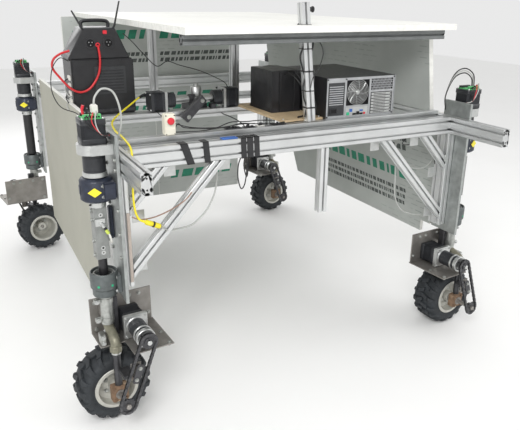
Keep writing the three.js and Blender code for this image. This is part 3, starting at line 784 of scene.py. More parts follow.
def make_pc():
    """The computer stands with its connector side to the front: fan grille, vent, slot covers and sockets."""
    x0, x1, y0, y1, z0, z1 = 143, 508, 110, 590, 1104.45, 1280
    shape = Shape("pc_case_shell")
    shape.box(x0, x0 + 3, y0, y1, z0, z1, "black", 0.8)
    shape.box(x1 - 1.5, x1, y0, y1, z0, z1, "sheet", 0.4)
    shape.box(x0 + 3, x1 - 1.5, y0, y1, z1 - 2, z1, "black", 0.8)
    shape.box(x0 + 3, x1 - 1.5, y0, y1, z0, z0 + 2, "sheet", 0.5)
    shape.box(x0 + 3, x1 - 1.5, y1 - 2, y1, z0 + 2, z1 - 2, "sheet", 0.5)
    face = y0 + 3
    # A near-black sheet of painted shade behind the rear sheet, standing for the dark inside of the case.
    shape.box(x0 + 3, x1 - 1.5, face + 10, face + 12, z0 + 2, z1 - 2, "hole_shade", 0)
    # The rear sheet is built of strips round its openings.
    strips = [(x0 + 3, x0 + 12, z0 + 2, z1 - 2), (x0 + 96, x0 + 106, z0 + 2, z1 - 2),
              (x0 + 12, x0 + 96, z1 - 22, z1 - 2), (x0 + 12, x0 + 96, z0 + 2, z0 + 12),
              (x0 + 226, x0 + 236, z0 + 2, z1 - 2), (x0 + 106, x0 + 226, z1 - 14, z1 - 2),
              (x0 + 106, x0 + 226, z0 + 44, z0 + 52), (x0 + 106, x0 + 226, z0 + 2, z0 + 8),
              (x0 + 236, x1 - 10, z1 - 12, z1 - 2), (x0 + 236, x1 - 10, z0 + 104, z0 + 112),
              (x1 - 10, x1 - 1.5, z0 + 2, z1 - 2), (x0 + 236, x1 - 10, z0 + 2, z0 + 8)]
    for a, b, c, d in strips:
        shape.box(a, b, face, face + 2, c, d, "sheet", 0.3)
    # power supply socket panel
    shape.box(x0 + 12, x0 + 96, face + 1, face + 3, z0 + 12, z1 - 22, "grille", 0.3)
    shape.box(x0 + 22, x0 + 60, face - 3, face + 2, z0 + 20, z0 + 46, "black", 1.5)
    # The socket's recess is a thin near-black plate of painted shade.
    shape.box(x0 + 27, x0 + 55, face - 3.4, face - 2.8, z0 + 25, z0 + 41, "hole_shade", 0)
    for i in range(9):
        shape.box(x0 + 18, x0 + 90, face - 0.4, face + 1.4, z0 + 58 + i * 9.5, z0 + 62.5 + i * 9.5,
                  "sheet", 0.3)
    # round fan grille
    cx, cz, big = x0 + 166, z0 + 108, 56
    for i in range(7):
        r = 12 + i * 7.2
        shape.ring((cx, face - 0.6, cz), Y_AXIS, 1.6, r - 0.9, r + 0.9, "silver", 40, 0.3)
    for i in range(8):
        a = i * math.pi / 4 + 0.3
        path = [(cx + r * math.cos(a + r * 0.009), face + 1.2, cz + r * math.sin(a + r * 0.009))
                for r in (7, 20, 34, 46, big)]
        shape.tube(path, 1.0, "silver", 6)
    shape.rod((cx, face - 1.2, cz), Y_AXIS, 3, 9, "silver", 20)
    for i in range(7):
        a = i * 2 * math.pi / 7
        path = [(cx + r * math.cos(a + r * 0.014), face + 7,
                 cz + r * math.sin(a + r * 0.014)) for r in (16, 30, 50)]
        shape.tube(path, 4.5, "grille", 6)
    # upper right vent: a honeycomb of short slots
    for i in range(14):
        for j in range(5):
            vx = x0 + 242 + i * 7.6 + (j % 2) * 3.6
            shape.box(vx, vx + 2.6, face, face + 1.8, z0 + 113 + j * 10.3, z0 + 121 + j * 10.3, "sheet", 0.3)
    for j in range(6):
        shape.box(x0 + 236, x1 - 10, face - 0.2, face + 1.2, z0 + 111.5 + j * 10.3, z0 + 113.5 + j * 10.3,
                  "sheet", 0.2)
    # slot covers, lying across
    for i in range(7):
        z = z0 + 10 + i * 13.4
        shape.box(x0 + 240, x1 - 14, face - 0.8, face + 1.2, z, z + 10.6, "silver", 0.5)
        # Each cover's slit is a thin near-black strip of painted shade.
        shape.box(x0 + 252, x0 + 318, face - 1.1, face - 0.6, z + 4, z + 6.6, "hole_shade", 0)
        shape.socket_screw((x1 - 19, face - 0.6, z + 5.3), -Y_AXIS, 3.4)
    # sockets of the main board
    shape.box(x0 + 106, x0 + 226, face + 1.5, face + 3, z0 + 8, z0 + 44, "silver", 0.4)
    # The near-black socket openings are painted shade; the green, blue and red sockets are their own colours.
    for dx, w, h, look in ((6, 13, 13, "green_mark"), (22, 13, 13, "blue"), (39, 16, 7, "hole_shade"),
                           (39, 16, 7, "hole_shade"),
                           (59, 14, 14, "hole_shade"), (76, 16, 7, "blue"), (76, 16, 7, "hole_shade"), (96, 9, 9, "red")):
        up = 10 if look != "blue" else 24
        shape.box(x0 + 106 + dx, x0 + 106 + dx + w, face - 1.5, face + 2.2, z0 + up, z0 + up + h, look, 0.5)
    for x, z in ((x0 + 8, z0 + 8), (x0 + 8, z1 - 8), (x1 - 6, z1 - 8), (x1 - 6, z0 + 8), (x0 + 101, z1 - 9)):
        shape.socket_screw((x, face, z), -Y_AXIS, 4)
    shape.piece("frame", ["pc_case"], "computer")


def make_battery_box():
    """A black power pack on a wide foot, with a lamp-like head, two sockets, a handle and a side terminal."""
    shape = Shape("battery_box_pack")
    shape.box(-798, -520, 700, 900, 1087.45, 1335, "black", 6)
    shape.slab([(-810, 1334), (-535, 1334), (-594, 1466), (-732, 1466)], 700, 880, "Y", "black", 5)
    shape.box(-792, -526, 697, 703, 1098, 1112, "dark_steel", 2)
    shape.box(-700, -560, 694, 702, 1180, 1302, "grille", 4)
    for i in range(8):
        shape.box(-690, -570, 692.5, 696, 1190 + i * 13, 1195 + i * 13, "black", 1.5)
    for x in (-706, -628):
        shape.ring((x, 697, 1402), Y_AXIS, 8, 17, 27, "black", 26)
        # The inside of each round socket is a near-black disc of painted shade.
        shape.rod((x, 699, 1402), Y_AXIS, 4, 17, "hole_shade", 24)
        for k in range(3):
            a = k * 2.094 + 0.5
            shape.rod((x + 8 * math.cos(a), 695, 1402 + 8 * math.sin(a)), Y_AXIS, 6, 2.2, "silver", 10)
    shape.tube(smooth_route([(-722, 790, 1460), (-722, 790, 1486), (-700, 790, 1494), (-630, 790, 1494),
                             (-604, 790, 1486), (-604, 790, 1460)], 5), 8, "black", 12)
    shape.box(-650, -632, 694, 701, 1440, 1456, "red", 2)
    for x, lean in ((-735, -40), (-600, 32)):
        shape.tube([(x, 712, 1462), (x + lean * 0.2, 706, 1478), (x + lean, 702, 1538 if lean < 0 else 1577)],
                   lambda t: 5.5 - 2 * t, "black", 10)
    for i in range(4):
        z = 1140 + i * 34
        shape.box(-806, -797, 730, 770, z, z + 22, "white_cable", 2)
        shape.tube(smooth_route([(-804, 750, z + 8), (-824, 742, z - 2), (-818, 728, z - 26),
                                 (-802, 722, z - 40)], 4),
                   2.4, "black_cable" if i % 2 else "grey_cable", 8)
    shape.ring((-676, 700, 1395), -Y_AXIS, 7, 5.5, 10, "red", 20)
    shape.piece("frame", ["battery_box"], "black_plastic")


def make_stop():
    shape = Shape("e_stop_housing")
    shape.box(-585, -542, 86, 122, 1104.45, 1186, "cream", 3)
    shape.box(-583, -544, 84.4, 88, 1107, 1131, "cream", 1)
    shape.ring((-563.5, 80, 1160), Y_AXIS, 7, 7, 15, "cream", 26)
    for x in (-580, -547):
        for z in (1110, 1180):
            shape.socket_screw((x, 86.5, z), -Y_AXIS, 3)
    shape.piece("frame", ["e_stop_box"], "cream_plastic")
    cap = Shape("e_stop_cap")
    cap.turned([(0, -8), (8, -7.6), (12, -6), (13.9, -3), (14, 0), (12.5, 1.2), (5.8, 1.2), (5.8, 15.5),
                (0, 15.5)],
               (-563.5, 79, 1160), Y_AXIS, "red", 36)
    cap.piece("stop_button", ["e_stop_button"], "red_plastic")


def make_mast_fittings():
    """Zip ties, a clamp knob and black leads along the mast."""
    lean = math.radians(-6)
    up = Vector((math.sin(lean), 0, math.cos(lean)))
    foot = Vector((60, 104, 1106.6))
    shape = Shape("mast_fittings")
    for t, spread in ((60, 3), (130, 2), (210, 3), (300, 2), (392, 3)):
        c = foot + up * t
        shape.slab([(c.x - 21, c.y - 21), (c.x + 21, c.y - 21), (c.x + 21, c.y + 21), (c.x - 21, c.y + 21)],
                   c.z - spread, c.z + spread, "Z", "black", 0.6)
    for side, wave in ((-24, 9), (23, 7)):
        path = [foot + up * (20 + i * 42) + Vector((side + wave * math.sin(i * 1.9),
                                                    -8 + 5 * math.cos(i * 1.3), 0))
                for i in range(10)]
        shape.tube(smooth_route(path, 5), 3.4, "black_cable", 8)
    top = foot + up * 452
    shape.rod(top + Vector((18, 0, 0)), X_AXIS, 20, 9, "black", 20)
    shape.rod(top + Vector((38, 0, 0)), X_AXIS, 6, 12, "black", 20)
    shape.piece("frame", slot="black_plastic")


for make in (make_deck_board, make_black_case, make_pc, make_battery_box, make_stop, make_mast_fittings):
    make()


# ---- Corner modules ---------------------------------------------------------------------------------------
TEETH, LINK, CHAIN_Y, PITCH_RADIUS = 15, 12.7, -182, 30.5
DRIVE_X, DRIVE_Z, WHEEL_Z = 95, 396, 147
TYRE_HALF, TYRE_MIDDLE = 70, 14


def make_corner_plate(name, inward, spread, plan):
    """The plate on the post with its motor clamp, pillow block and ring bearing."""
    shape = Shape(name + "_corner_bracket", plan)
    low, high = spread
    shape.box(inward * 57.5, inward * 69.5, low, high, 520, 1155, "plate", 1.2)
    # motor clamp
    shape.ring((0, 0, 1085.5), Z_AXIS, 36.5, 36.5, 56, "silver", 40, 1.5)
    shape.box(inward * 40, inward * 58.5, -58, 58, 1085.5, 1122, "silver", 2)
    for y in (-44, 44):
        shape.box(inward * -20, inward * 45, y - 13, y + 13, 1086, 1121.5, "silver", 2)
        shape.bolt((inward * -20, y, 1104), (-inward, 0, 0), 9)
        shape.bolt((inward * 57, y * 0.4, 1140), (-inward, 0, 0), 8, "dark_steel")
    # pillow block
    shape.box(inward * 10, inward * 58.5, -65, 65, 925, 990, "navy", 6)
    shape.turned([(20, 915), (50, 915), (58, 922), (58, 990), (54, 996), (44, 1000), (41, 998), (38, 998),
                  (36, 1000),
                  (32, 1000), (31, 996), (28, 996), (27, 1000), (20, 1000), (20, 915)], (0, 0, 0), Z_AXIS,
                  "navy", 44)
    shape.box(inward * -59.5, inward * -50, -11, 11, 940, 976, "navy", 2)
    shape.slab([(-59, 940), (-35, 957), (-59, 974), (-83, 957)], -59.4, -57.4, "Y", "yellow_patch", 0.4,
               Matrix.Translation((0, 0, 0)) @ Matrix.Rotation(math.radians(-18 * inward), 4, "Z")
               @ Matrix.Translation((59, 0, 0)))
    for y in (-52, 52):
        for z in (938, 977):
            shape.bolt((inward * 12, y, z), (-inward, 0, 0), 9, "zinc")
    # ring bearing
    shape.box(inward * 40, inward * 58.5, -38, 38, 546, 623, "casting", 4)
    shape.turned([(34, 540), (44, 540), (46, 544), (46, 566), (52, 574), (52, 629), (49, 635), (46, 635),
                  (45, 618),
                  (34, 618), (34, 540)], (0, 0, 0), Z_AXIS, "casting", 44)
    shape.turned([(34, 618), (36, 618), (36, 630), (34.2, 630), (34, 618)], (0, 0, 0), Z_AXIS, "silver", 40)
    shape.ring((0, 0, 619), Z_AXIS, 6, 38, 43, "silver", 40, 1)
    for a in (-2.2, -1.2):
        x, y = 51.5 * math.cos(a), 51.5 * math.sin(a)
        shape.rod((x, y, 590), (math.cos(a), math.sin(a), 0), 1.2, 5, "green_mark", 8, 0.2)
    for z in (556, 612):
        for y in (-30, 30):
            shape.bolt((inward * 40, y, z), (-inward, 0, 0), 8, "silver")
    for z in (700, 790, 880, 1030, 1066):
        for y in (low + 22, high - 22):
            shape.bolt((inward * 57.6, y, z), (-inward, 0, 0), 8, "zinc")
    shape.piece("frame", [name + "_corner_plate"], "plate")


def stepper(shape, plan, look="motor"):
    """A square motor with chamfered corners, a laminated middle and two end bells; its shaft end is z = 0."""
    def square(half, cut):
        return [(-half + cut, -half), (half - cut, -half), (half, -half + cut), (half, half - cut),
                (half - cut, half), (-half + cut, half), (-half, half - cut), (-half, -half + cut)]
    shape.slab(square(43, 6), 0, 20, "Z", look, 1.2, plan)
    shape.slab(square(41, 9), 20, 66, "Z", "laminate", 0, plan)
    for i in range(11):
        shape.slab(square(42.2, 8.5), 21.5 + i * 4, 23.5 + i * 4, "Z", "laminate", 0, plan)
    shape.slab(square(43, 6), 66, 86, "Z", look, 1.2, plan)
    for x in (-34.5, 34.5):
        for y in (-34.5, 34.5):
            shape.socket_screw((x, y, 85.6), Z_AXIS, 5.5, "silver", plan)


def make_steer_motor(name, inward, plan):
    shape = Shape(name + "_steer_gearmotor", plan)
    shape.ring((0, 0, 1003), Z_AXIS, 18, 20, 43, "silver", 40, 1.5)
    shape.turned([(20, 1020), (40, 1020), (40, 1026), (38.8, 1027), (38.8, 1030), (40, 1031), (40, 1072),
                  (38.8, 1073), (38.8, 1076), (40, 1077), (40, 1085), (0, 1085)], (0, 0, 0), Z_AXIS,
                  "motor", 40)
    shape.rod((0, 0, 1085), Z_AXIS, 37.4, 36, "silver", 36)
    stepper(shape, Matrix.Translation((0, 0, 1122.4)))
    # terminal board on top
    shape.box(-32, 32, -36, 36, 1208, 1212, "pcb", 0.6)
    shape.box(-30, 30, -34, -20, 1212, 1225, "pcb", 1.2)
    shape.box(-30, 30, 20, 34, 1212, 1222, "black", 1.2)
    for i in range(6):
        # The terminal openings are near-black slits of painted shade.
        shape.box(-27 + i * 9.2, -21 + i * 9.2, -35, -33.4, 1213.5, 1218.5, "hole_shade", 0)
        shape.rod((-24 + i * 9.2, -27, 1224.4), Z_AXIS, 1.2, 2.6, "silver", 10)
    for k, look in enumerate(("black_cable", "black_cable", "red_cable", "grey_cable")):
        x = -18 + k * 11
        path = [(x, -30, 1216), (x - 4, -46, 1222 + 5 * k), (x - 10, -52, 1200), (inward * 20, -50, 1160),
                (inward * 52, -40, 1150)]
        shape.tube(smooth_route(path, 6), 2.1, look, 8)
    shape.piece("frame", [name + "_steer_motor"], "motor")


def make_column(name, inward, plan, rear_left):
    """All that turns with the steering: shaft, coupling, sleeve, tube, fork arm, axle block and shelf."""
    s = inward
    shape = Shape(name + "_column", plan)
    shape.rod((0, 0, 880), Z_AXIS, 121.5, 18.9, "silver", 32)
    shape.ring((0, 0, 889), Z_AXIS, 25, 18, 30, "silver", 36, 1.5)
    for a in (0.4, 3.5):
        shape.socket_screw((30 * math.cos(a), 30 * math.sin(a), 901), (math.cos(a), math.sin(a), 0), 5)
    if rear_left:
        shape.rod((0, 0, 637), Z_AXIS, 250, 27, "black", 36, 2)
        shape.box(-20, 20, -32, -24, 740, 800, "pcb_blue", 1)
    else:
        shape.box(-24, 24, -24, 24, 690, 890, "sleeve", 1.6)
        for y, out in ((-24, -1), (24, 1)):
            for z in (716, 735, 862):
                shape.ring((0, y - out * 0.4, z), (0, out, 0), 1.2, 4.2 if z == 735 else 2.8, 8, "silver",
                           20, 0.2)
                # The hole inside each ring is a near-black disc of painted shade.
                shape.rod((0, y - out * 0.5, z), (0, out, 0), 1.0, 4.1 if z == 735 else 2.8, "hole_shade", 16, 0.1)
        for z in (704, 760, 840, 876):
            shape.bolt((-s * 24, 0, z), (-s, 0, 0), 8, "zinc")
    shape.rod((0, 0, 600), Z_AXIS, 91, 17, "black", 32)
    shape.turned([(17, 548), (31, 548), (33, 551), (33, 597), (31, 601), (17, 601)], (0, 0, 0), Z_AXIS,
                 "silver", 36)
    shape.rod((0, 0, 531), Z_AXIS, 72, 20, "dark_steel", 32)
    # clamp tube with its ears and bolts
    shape.turned([(20, 415), (24, 415), (24, 424), (25.8, 425), (25.8, 443), (24, 444), (24, 502),
                  (25.8, 503),
                  (25.8, 524), (24, 525), (24, 533), (20, 533)], (0, 0, 0), Z_AXIS, "zinc", 36)
    for z in (434, 513):
        shape.box(-s * 46, -s * 20, -9, -3, z - 9, z + 9, "zinc", 1.5)
        shape.box(-s * 46, -s * 20, 3, 9, z - 9, z + 9, "zinc", 1.5)
        shape.bolt((-s * 37, -9, z), (0, -1, 0), 8, "silver")
        shape.rod((-s * 37, -12, z), Y_AXIS, 30, 3.6, "silver", 12)
    if rear_left:
        shape.ring((0, 0, 432), Z_AXIS, 42, 24, 27, "copper", 36, 1)
    # threaded elbow and strut
    bend = smooth_route([(0, 0, 440), (0, -4, 405), (0, -40, 388), (0, -76, 372), (0, -80, 340)], 8)
    shape.tube(bend, 19.6, "olive", 26)
    shape.rod((0, -12, 394), (0, -0.75, -0.66), 14, 24, "silver", 6, 2)
    shape.rod((0, -80, 330), Z_AXIS, 26, 23.5, "olive", 8, 2)
    shape.ring((0, -80, 322), Z_AXIS, 9, 15, 19, "silver", 24)
    shape.rod((0, -80, 165), Z_AXIS, 180, 15, "dark_steel", 28)
    # axle block
    shape.box(-32, 32, -98, -62, 115, 183, "rust", 3)
    for x in (-22, 22):
        for z in (124, 174):
            shape.bolt((x, -98, z), (0, -1, 0), 7, "rust")
    shape.ring((0, -102, WHEEL_Z), Y_AXIS, 6, 10.6, 20, "brown_steel", 28)
    # brackets that hold the drive motor
    shape.box(s * 14, s * 46, 8, 36, 345, 512, "dark_steel", 2)
    shape.box(s * -18, s * 18, 10, 63, 430, 490, "brown_steel", 2)
    shape.box(s * -50, s * 200, 62, 68, 342, 495, "brown_steel", 1)
    right, left, step = s * 205, s * -50, s * 45
    outline = [(left, 68), (right, 68), (right, -160), (step, -160), (step, -55), (left, -55)]
    shape.slab(outline, 342, 347, "Z", "brown_steel", 0.8)
    for x, z in ((-30, 360), (-30, 476), (30, 476), (150, 476), (186, 380), (110, 476)):
        shape.bolt((s * x, 62, z), (0, -1, 0), 8, "zinc")
        shape.bolt((s * x, 68, z), (0, 1, 0), 8, "zinc")
    for x, y in ((62, -148), (188, -148), (188, -60), (-36, -40)):
        shape.bolt((s * x, y, 347), Z_AXIS, 8, "zinc")
        shape.bolt((s * x, y, 342), -Z_AXIS, 8, "zinc")
    # chain tensioner plate, standing between the chain's two runs
    way = Vector((s * DRIVE_X, 0, DRIVE_Z - WHEEL_Z)).normalized()
    wide = Vector((way.z, 0, -way.x))
    middle = Vector((s * DRIVE_X * 0.5, -180, (DRIVE_Z + WHEEL_Z) / 2))
    corners = [middle + way * a + wide * b for a, b in ((-40, -8), (-34, -14), (34, -14), (40, -8), (40, 8),
                                                       (34, 14), (-34, 14), (-40, 8))]
    shape.slab([(c.x, c.z) for c in corners], -184, -180, "Y", "dark_steel", 0.8)
    for a in (-24, 24):
        c = middle + way * a
        shape.bolt((c.x, -184, c.z), (0, -1, 0), 7, "zinc")
        shape.rod((c.x, -180, c.z), Y_AXIS, 22, 6, "dark_steel", 14)
    shape.box(middle.x - 20, middle.x + 20, -160, -155, middle.z - 36, middle.z + 36, "brown_steel", 1)
    c = middle - way * 20
    shape.box(min(0, c.x), max(0, c.x), -158, -92, c.z - 7, c.z + 7, "dark_steel", 1.5)
    # a small bracket with two bolts beside the elbow
    shape.box(s * -44, s * -26, -52, -12, 347, 392, "zinc", 2)
    for z in (358, 380):
        shape.bolt((s * -35, -52, z), (0, -1, 0), 8, "silver")
    shape.piece(name + "_steering", [name + "_steering_column"], "column")


def make_drive_motor(name, inward, plan):
    shape = Shape(name + "_drive_gearmotor", plan @ Matrix.Translation((inward * DRIVE_X, 0, DRIVE_Z)))
    stepper(shape, Matrix.Translation((0, -25, 0)) @ Matrix.Rotation(-math.pi / 2, 4, "X"))
    shape.box(-47.8, 47.8, -50, -28, -47.8, 47.8, "silver", 3)
    shape.ring((0, -54, 0), Y_AXIS, 5, 30, 40, "silver", 40, 1.5)
    for x in (-39, 39):
        for z in (-39, 39):
            shape.socket_screw((x, -50, z), (0, -1, 0), 6, "silver")
    shape.turned([(20, -140), (35, -140), (35, -122), (34, -121), (34, -117), (35, -116), (35, -84),
                  (34, -83),
                  (34, -79), (35, -78), (35, -49), (0, -49)], (0, 0, 0), Y_AXIS, "motor", 40)
    shape.ring((0, -126, 0), Y_AXIS, 9, 34, 37.5, "silver", 40, 1)
    shape.ring((0, -158, 0), Y_AXIS, 19, 11, 38, "silver", 40, 1.5)
    for i in range(4):
        a = i * math.pi / 2 + math.pi / 4
        shape.socket_screw((28 * math.cos(a), -158, 28 * math.sin(a)), (0, -1, 0), 5)
    shape.piece(name + "_steering", [name + "_drive_motor"], "motor")


def sprocket_outline(centre_x, centre_z):
    points = []
    for i in range(TEETH):
        a = 2 * math.pi * i / TEETH
        for da, r in ((-0.155, 27.2), (-0.095, 27.4), (-0.06, 30.6), (-0.028, 33.2), (0.028, 33.2),
                      (0.06, 30.6),
                      (0.095, 27.4)):
            points.append((centre_x + r * math.cos(a + da), centre_z + r * math.sin(a + da)))
    return points


def make_sprockets(name, inward, plan):
    shape = Shape(name + "_drive_toothed", plan)
    shape.slab(sprocket_outline(inward * DRIVE_X, DRIVE_Z), -184, -180, "Y", "dark_steel", 0.4)
    place = (inward * DRIVE_X, -178, DRIVE_Z)
    shape.ring((place[0], -180.2, DRIVE_Z), Y_AXIS, 18, 9, 20, "dark_steel", 28)
    shape.rod((place[0], -196, DRIVE_Z), Y_AXIS, 37.5, 9, "silver", 24)
    shape.ring((place[0], -188, DRIVE_Z), Y_AXIS, 5, 9, 17, "dark_steel", 28)
    shape.box(place[0] - 2.5, place[0] + 2.5, -194, -180, DRIVE_Z + 7, DRIVE_Z + 10.4, "dark_steel", 0.4)
    shape.piece(name + "_drive", [name + "_drive_sprocket"], "sprocket")


def make_chain(name, inward, plan):
    """A roller chain round both sprockets: rollers, and inner and outer side plates in turn."""
    first, second = Vector((0, 0, WHEEL_Z)), Vector((inward * DRIVE_X, 0, DRIVE_Z))
    run = (second - first).length
    way = (second - first) / run
    wide = Vector((way.z, 0, -way.x))
    r = PITCH_RADIUS
    loop = 2 * run + 2 * math.pi * r
    count = round(loop / LINK)

    def spot(s):
        s = s % loop
        if s < run:
            return first + wide * r + way * s
        s -= run
        if s < math.pi * r:
            return second + (wide * math.cos(s / r) + way * math.sin(s / r)) * r
        s -= math.pi * r
        if s < run:
            return second - wide * r - way * s
        s -= run
        return first - (wide * math.cos(s / r) + way * math.sin(s / r)) * r

    shape = Shape(name + "_chain", plan)
    spots = [spot(i * loop / count) for i in range(count)]
    for i, a in enumerate(spots):
        b = spots[(i + 1) % count]
        along = (b - a).normalized()
        up = Vector((-along.z, 0, along.x))
        outline = []
        for end, turn in ((b, -math.pi / 2), (a, math.pi / 2)):
            for k in range(5):
                t = turn + k * math.pi / 4
                q = end + (along * math.cos(t) + up * math.sin(t)) * 5.4
                outline.append((q.x, q.z))
        gap = 3.6 if i % 2 else 5.0
        for side in (-1, 1):
            y = CHAIN_Y + side * gap
            shape.slab(outline, y - 0.65, y + 0.65, "Y", "chain", 0)
        shape.rod((a.x, CHAIN_Y - 6.6, a.z), Y_AXIS, 13.2, 2.1, "chain", 8, 0.3)
        shape.rod((a.x, CHAIN_Y - 2.9, a.z), Y_AXIS, 5.8, 3.9, "chain", 10, 0.2)
    shape.piece(name + "_steering", slot="sprocket")


def make_wheel(name, plan):
    wheel = plan @ Matrix.Translation((0, 0, WHEEL_Z))
    rim = Shape(name + "_rim", wheel)
    edge = TYRE_HALF - 2
    rim.turned([(74, -edge), (86, -edge), (88, -edge + 2), (88, -edge + 4), (84, -edge + 5),
                (78.2, -edge + 7),
                (77.5, -30), (76, 0), (77.5, 30), (78.2, edge - 7), (84, edge - 5), (88, edge - 4),
                (88, edge - 2),
                (86, edge), (74, edge), (72.5, edge - 7), (72, 30), (72, -30), (72.5, -edge + 7),
                (74, -edge)],
               (0, TYRE_MIDDLE, 0), Y_AXIS, "rim", 56)
    rim.turned([(25, -16), (40, -14), (52, -8), (62, -10), (73, -12), (73, -6), (62, -4), (52, -2), (40, -8),
                (25, -10), (25, -16)], (0, 0, 0), Y_AXIS, "rim", 48)
    rim.turned([(10.5, -48), (24, -48), (26, -46), (26, 38), (24, 40), (10.5, 40), (10.5, -48)], (0, 0, 0),
               Y_AXIS,
               "rim", 36)
    for i in range(5):
        a = 2 * math.pi * i / 5
        rim.bolt((40 * math.cos(a), -13, 40 * math.sin(a)), (0, -1, 0), 9, "zinc")
        rim.bolt((40 * math.cos(a), -8.5, 40 * math.sin(a)), (0, 1, 0), 9, "zinc")
    rim.rod((62, -46, 30), (0, -1, 0), 12, 3, "black", 10)
    rim.rod((0, -194, 0), Y_AXIS, 240, 9.9, "brown_steel", 24, 1.5)
    rim.slab(sprocket_outline(0, 0), -184, -180, "Y", "dark_steel", 0.4)
    rim.ring((0, -180.2, 0), Y_AXIS, 18, 9.9, 20, "dark_steel", 28)
    rim.piece(name + "_wheel", [name + "_wheel_rim"], "rim")
    make_tyre(name, wheel)


def make_tyre(name, wheel):
    """A ribbed carcass with deep tread blocks: a zigzag pair in the middle and lugs down the shoulders."""
    middle = Matrix.Translation((0, TYRE_MIDDLE, 0))
    tyre = Shape(name + "_tyre_lugged", wheel @ middle)
    half = TYRE_HALF
    side = [(88.5, half - 4.5), (96, half - 1.4), (108, half - 0.5), (118, half - 1.5), (126, half - 6),
            (131, half - 14), (134, half - 28), (135.5, 14)]
    outline = [(79, -half + 8), *[(r, -y) for r, y in side], *[(r, y) for r, y in side[::-1]], (79, half - 8),
               (78.6, 20), (78.6, -20), (79, -half + 8)]
    tyre.turned(outline, (0, 0, 0), Y_AXIS, "rubber", 72)
    for r in (97, 103):
        for out in (-1, 1):
            tyre.turned([(r - 1.2, out * (half - 2.5)), (r, out * (half - 0.2)),
                         (r + 1.2, out * (half - 2.5)),
                         (r - 1.2, out * (half - 2.5))], (0, 0, 0), Y_AXIS, "rubber", 60)
    # Each lug is a run of stations: place across the tread, lower and upper radius, and turn ahead.
    inner = [(-4, 130, 147, 0.0), (16, 130, 147, 0.05), (33, 129, 146.4, 0.10)]
    outer = [(38, 126, 146, 0.08), (52, 124, 144, 0.10), (63, 118, 137, 0.115), (69.6, 110, 124, 0.12)]
    lugs = 17
    for i in range(2 * lugs):
        half_side = 1 if i % 2 else -1
        start = math.pi * i / lugs
        add_lug(tyre, inner, half_side, start, 0.066)
        add_lug(tyre, outer, half_side, start + 0.02, 0.075 if i % 4 < 2 else 0.055)
    tyre.piece(name + "_wheel", [name + "_tyre"], "tyre")


def add_lug(tyre, stations, half_side, start, width):
    part = bmesh.new()
    rings = []
    for y, low, high, ahead in stations:
        ring = []
        for r, da in ((low, -width - 0.018), (high, -width), (high, width), (low, width + 0.018)):
            a = start + ahead + da
            ring.append(part.verts.new((r * math.cos(a), half_side * y, r * math.sin(a))))
        rings.append(ring)
    for low, high in zip(rings, rings[1:]):
        for k in range(4):
            part.faces.new((low[k], low[(k + 1) % 4], high[(k + 1) % 4], high[k]))
    part.faces.new(rings[0])
    part.faces.new(rings[-1][::-1])
    bmesh.ops.recalc_face_normals(part, faces=part.faces)
    edges = [e for e in part.edges if e.calc_face_angle(0) > 0.5]
    bmesh.ops.bevel(part, geom=edges, offset=1.4, segments=1, affect="EDGES", clamp_overlap=True)
    tyre.take(part, "rubber")


def make_corner(name):
    inward = 1 if "left" in name else -1
    front = name.startswith("front")
    low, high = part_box(name + "_corner_plate")
    plate_y = [(v.y - FRONT_Y) / MM for v in (low, high)]
    axis_y = FRONT_AXIS_Y if front else REAR_AXIS_Y
    spread = (plate_y[0] - axis_y, plate_y[1] - axis_y)
    fixed = PLAN @ Matrix.Translation((-inward * CORNER_X, axis_y, 0))
    turning = fixed @ Matrix.Rotation(math.radians(STEER_ANGLES[name]), 4, "Z")
    make_corner_plate(name, inward, spread, fixed)
    make_steer_motor(name, inward, fixed)
    make_column(name, inward, turning, name == "rear_left")
    make_drive_motor(name, inward, turning)
    make_sprockets(name, inward, turning)
    make_chain(name, inward, turning)
    make_wheel(name, turning)


for corner in STEER_ANGLES:
    make_corner(corner)


# ---- Swinging arm -----------------------------------------------------------------------------------------
def make_arm():
    """Two motors face each other on one axis and turn a bent bar between them."""
    for name, sign, x in (("arm_motor_left", 1, -490), ("arm_motor_right", -1, -60)):
        shape = Shape(name + "_body", PLAN @ Matrix.Translation((x, 600, 1150)))
        turn = Matrix.Rotation(sign * math.pi / 2, 4, "Y") @ Matrix.Scale(0.76, 4, Z_AXIS)
        stepper(shape, Matrix.Translation((sign * 66, 0, 0)) @ turn @ Matrix.Rotation(math.pi, 4, "X"))
        shape.box(sign * 65, sign * 77, -46, 46, -46, 46, "silver", 2.5)
        for y in (-38, 38):
            for z in (-38, 38):
                shape.socket_screw((sign * 77, y, z), (sign, 0, 0), 6)
        shape.turned([(0, 76), (35, 76), (35, 92), (34, 93), (34, 96), (35, 97), (35, 119.5), (0, 119.5)],
                     (0, 0, 0),
                     (sign, 0, 0), "motor", 36)
        shape.piece("frame", [name], "motor")
    bar = Shape("arm_bar_bent", PLAN)
    bar.rod((-369.5, 600, 1150), X_AXIS, 189, 15, "silver", 30)
    bar.box(-285, -245, 528, 600, 1138, 1162, "dark_steel", 2)
    bar.slab([(-262, 1178), (-240, 1150), (-334, 1056), (-362, 1084)], 514, 550, "Y", "dark_steel", 1.5)
    bar.ring((-300, 600, 1150), X_AXIS, 34, 14, 22, "dark_steel", 30, 2)
    for x, z in ((-262, 1152), (-330, 1082)):
        bar.bolt((x, 514, z), (0, -1, 0), 9, "zinc")
    bar.piece("arm", ["arm_bar"], "column")


make_arm()

# ---- Straps, leads and fittings ---------------------------------------------------------------------------
def strap(shape, x_top, x_low, width, look="black"):
    """A flat strap round the front beam, a little slanted."""
    low, high, deep = FRAME_BOTTOM - 3, FRAME_TOP + 2.5, PITCH + 2
    for y in (-3, deep - 0.5):
        shape.slab([(x_top, high), (x_top + width, high), (x_low + width, low), (x_low, low)], y, y + 2.4,
                   "Y", look, 0.6)
    shape.box(x_top, x_top + width, -3, deep + 1.9, high - 2.2, high, look, 0.6)
    shape.box(x_low, x_low + width, -3, deep + 1.9, low, low + 2.2, look, 0.6)


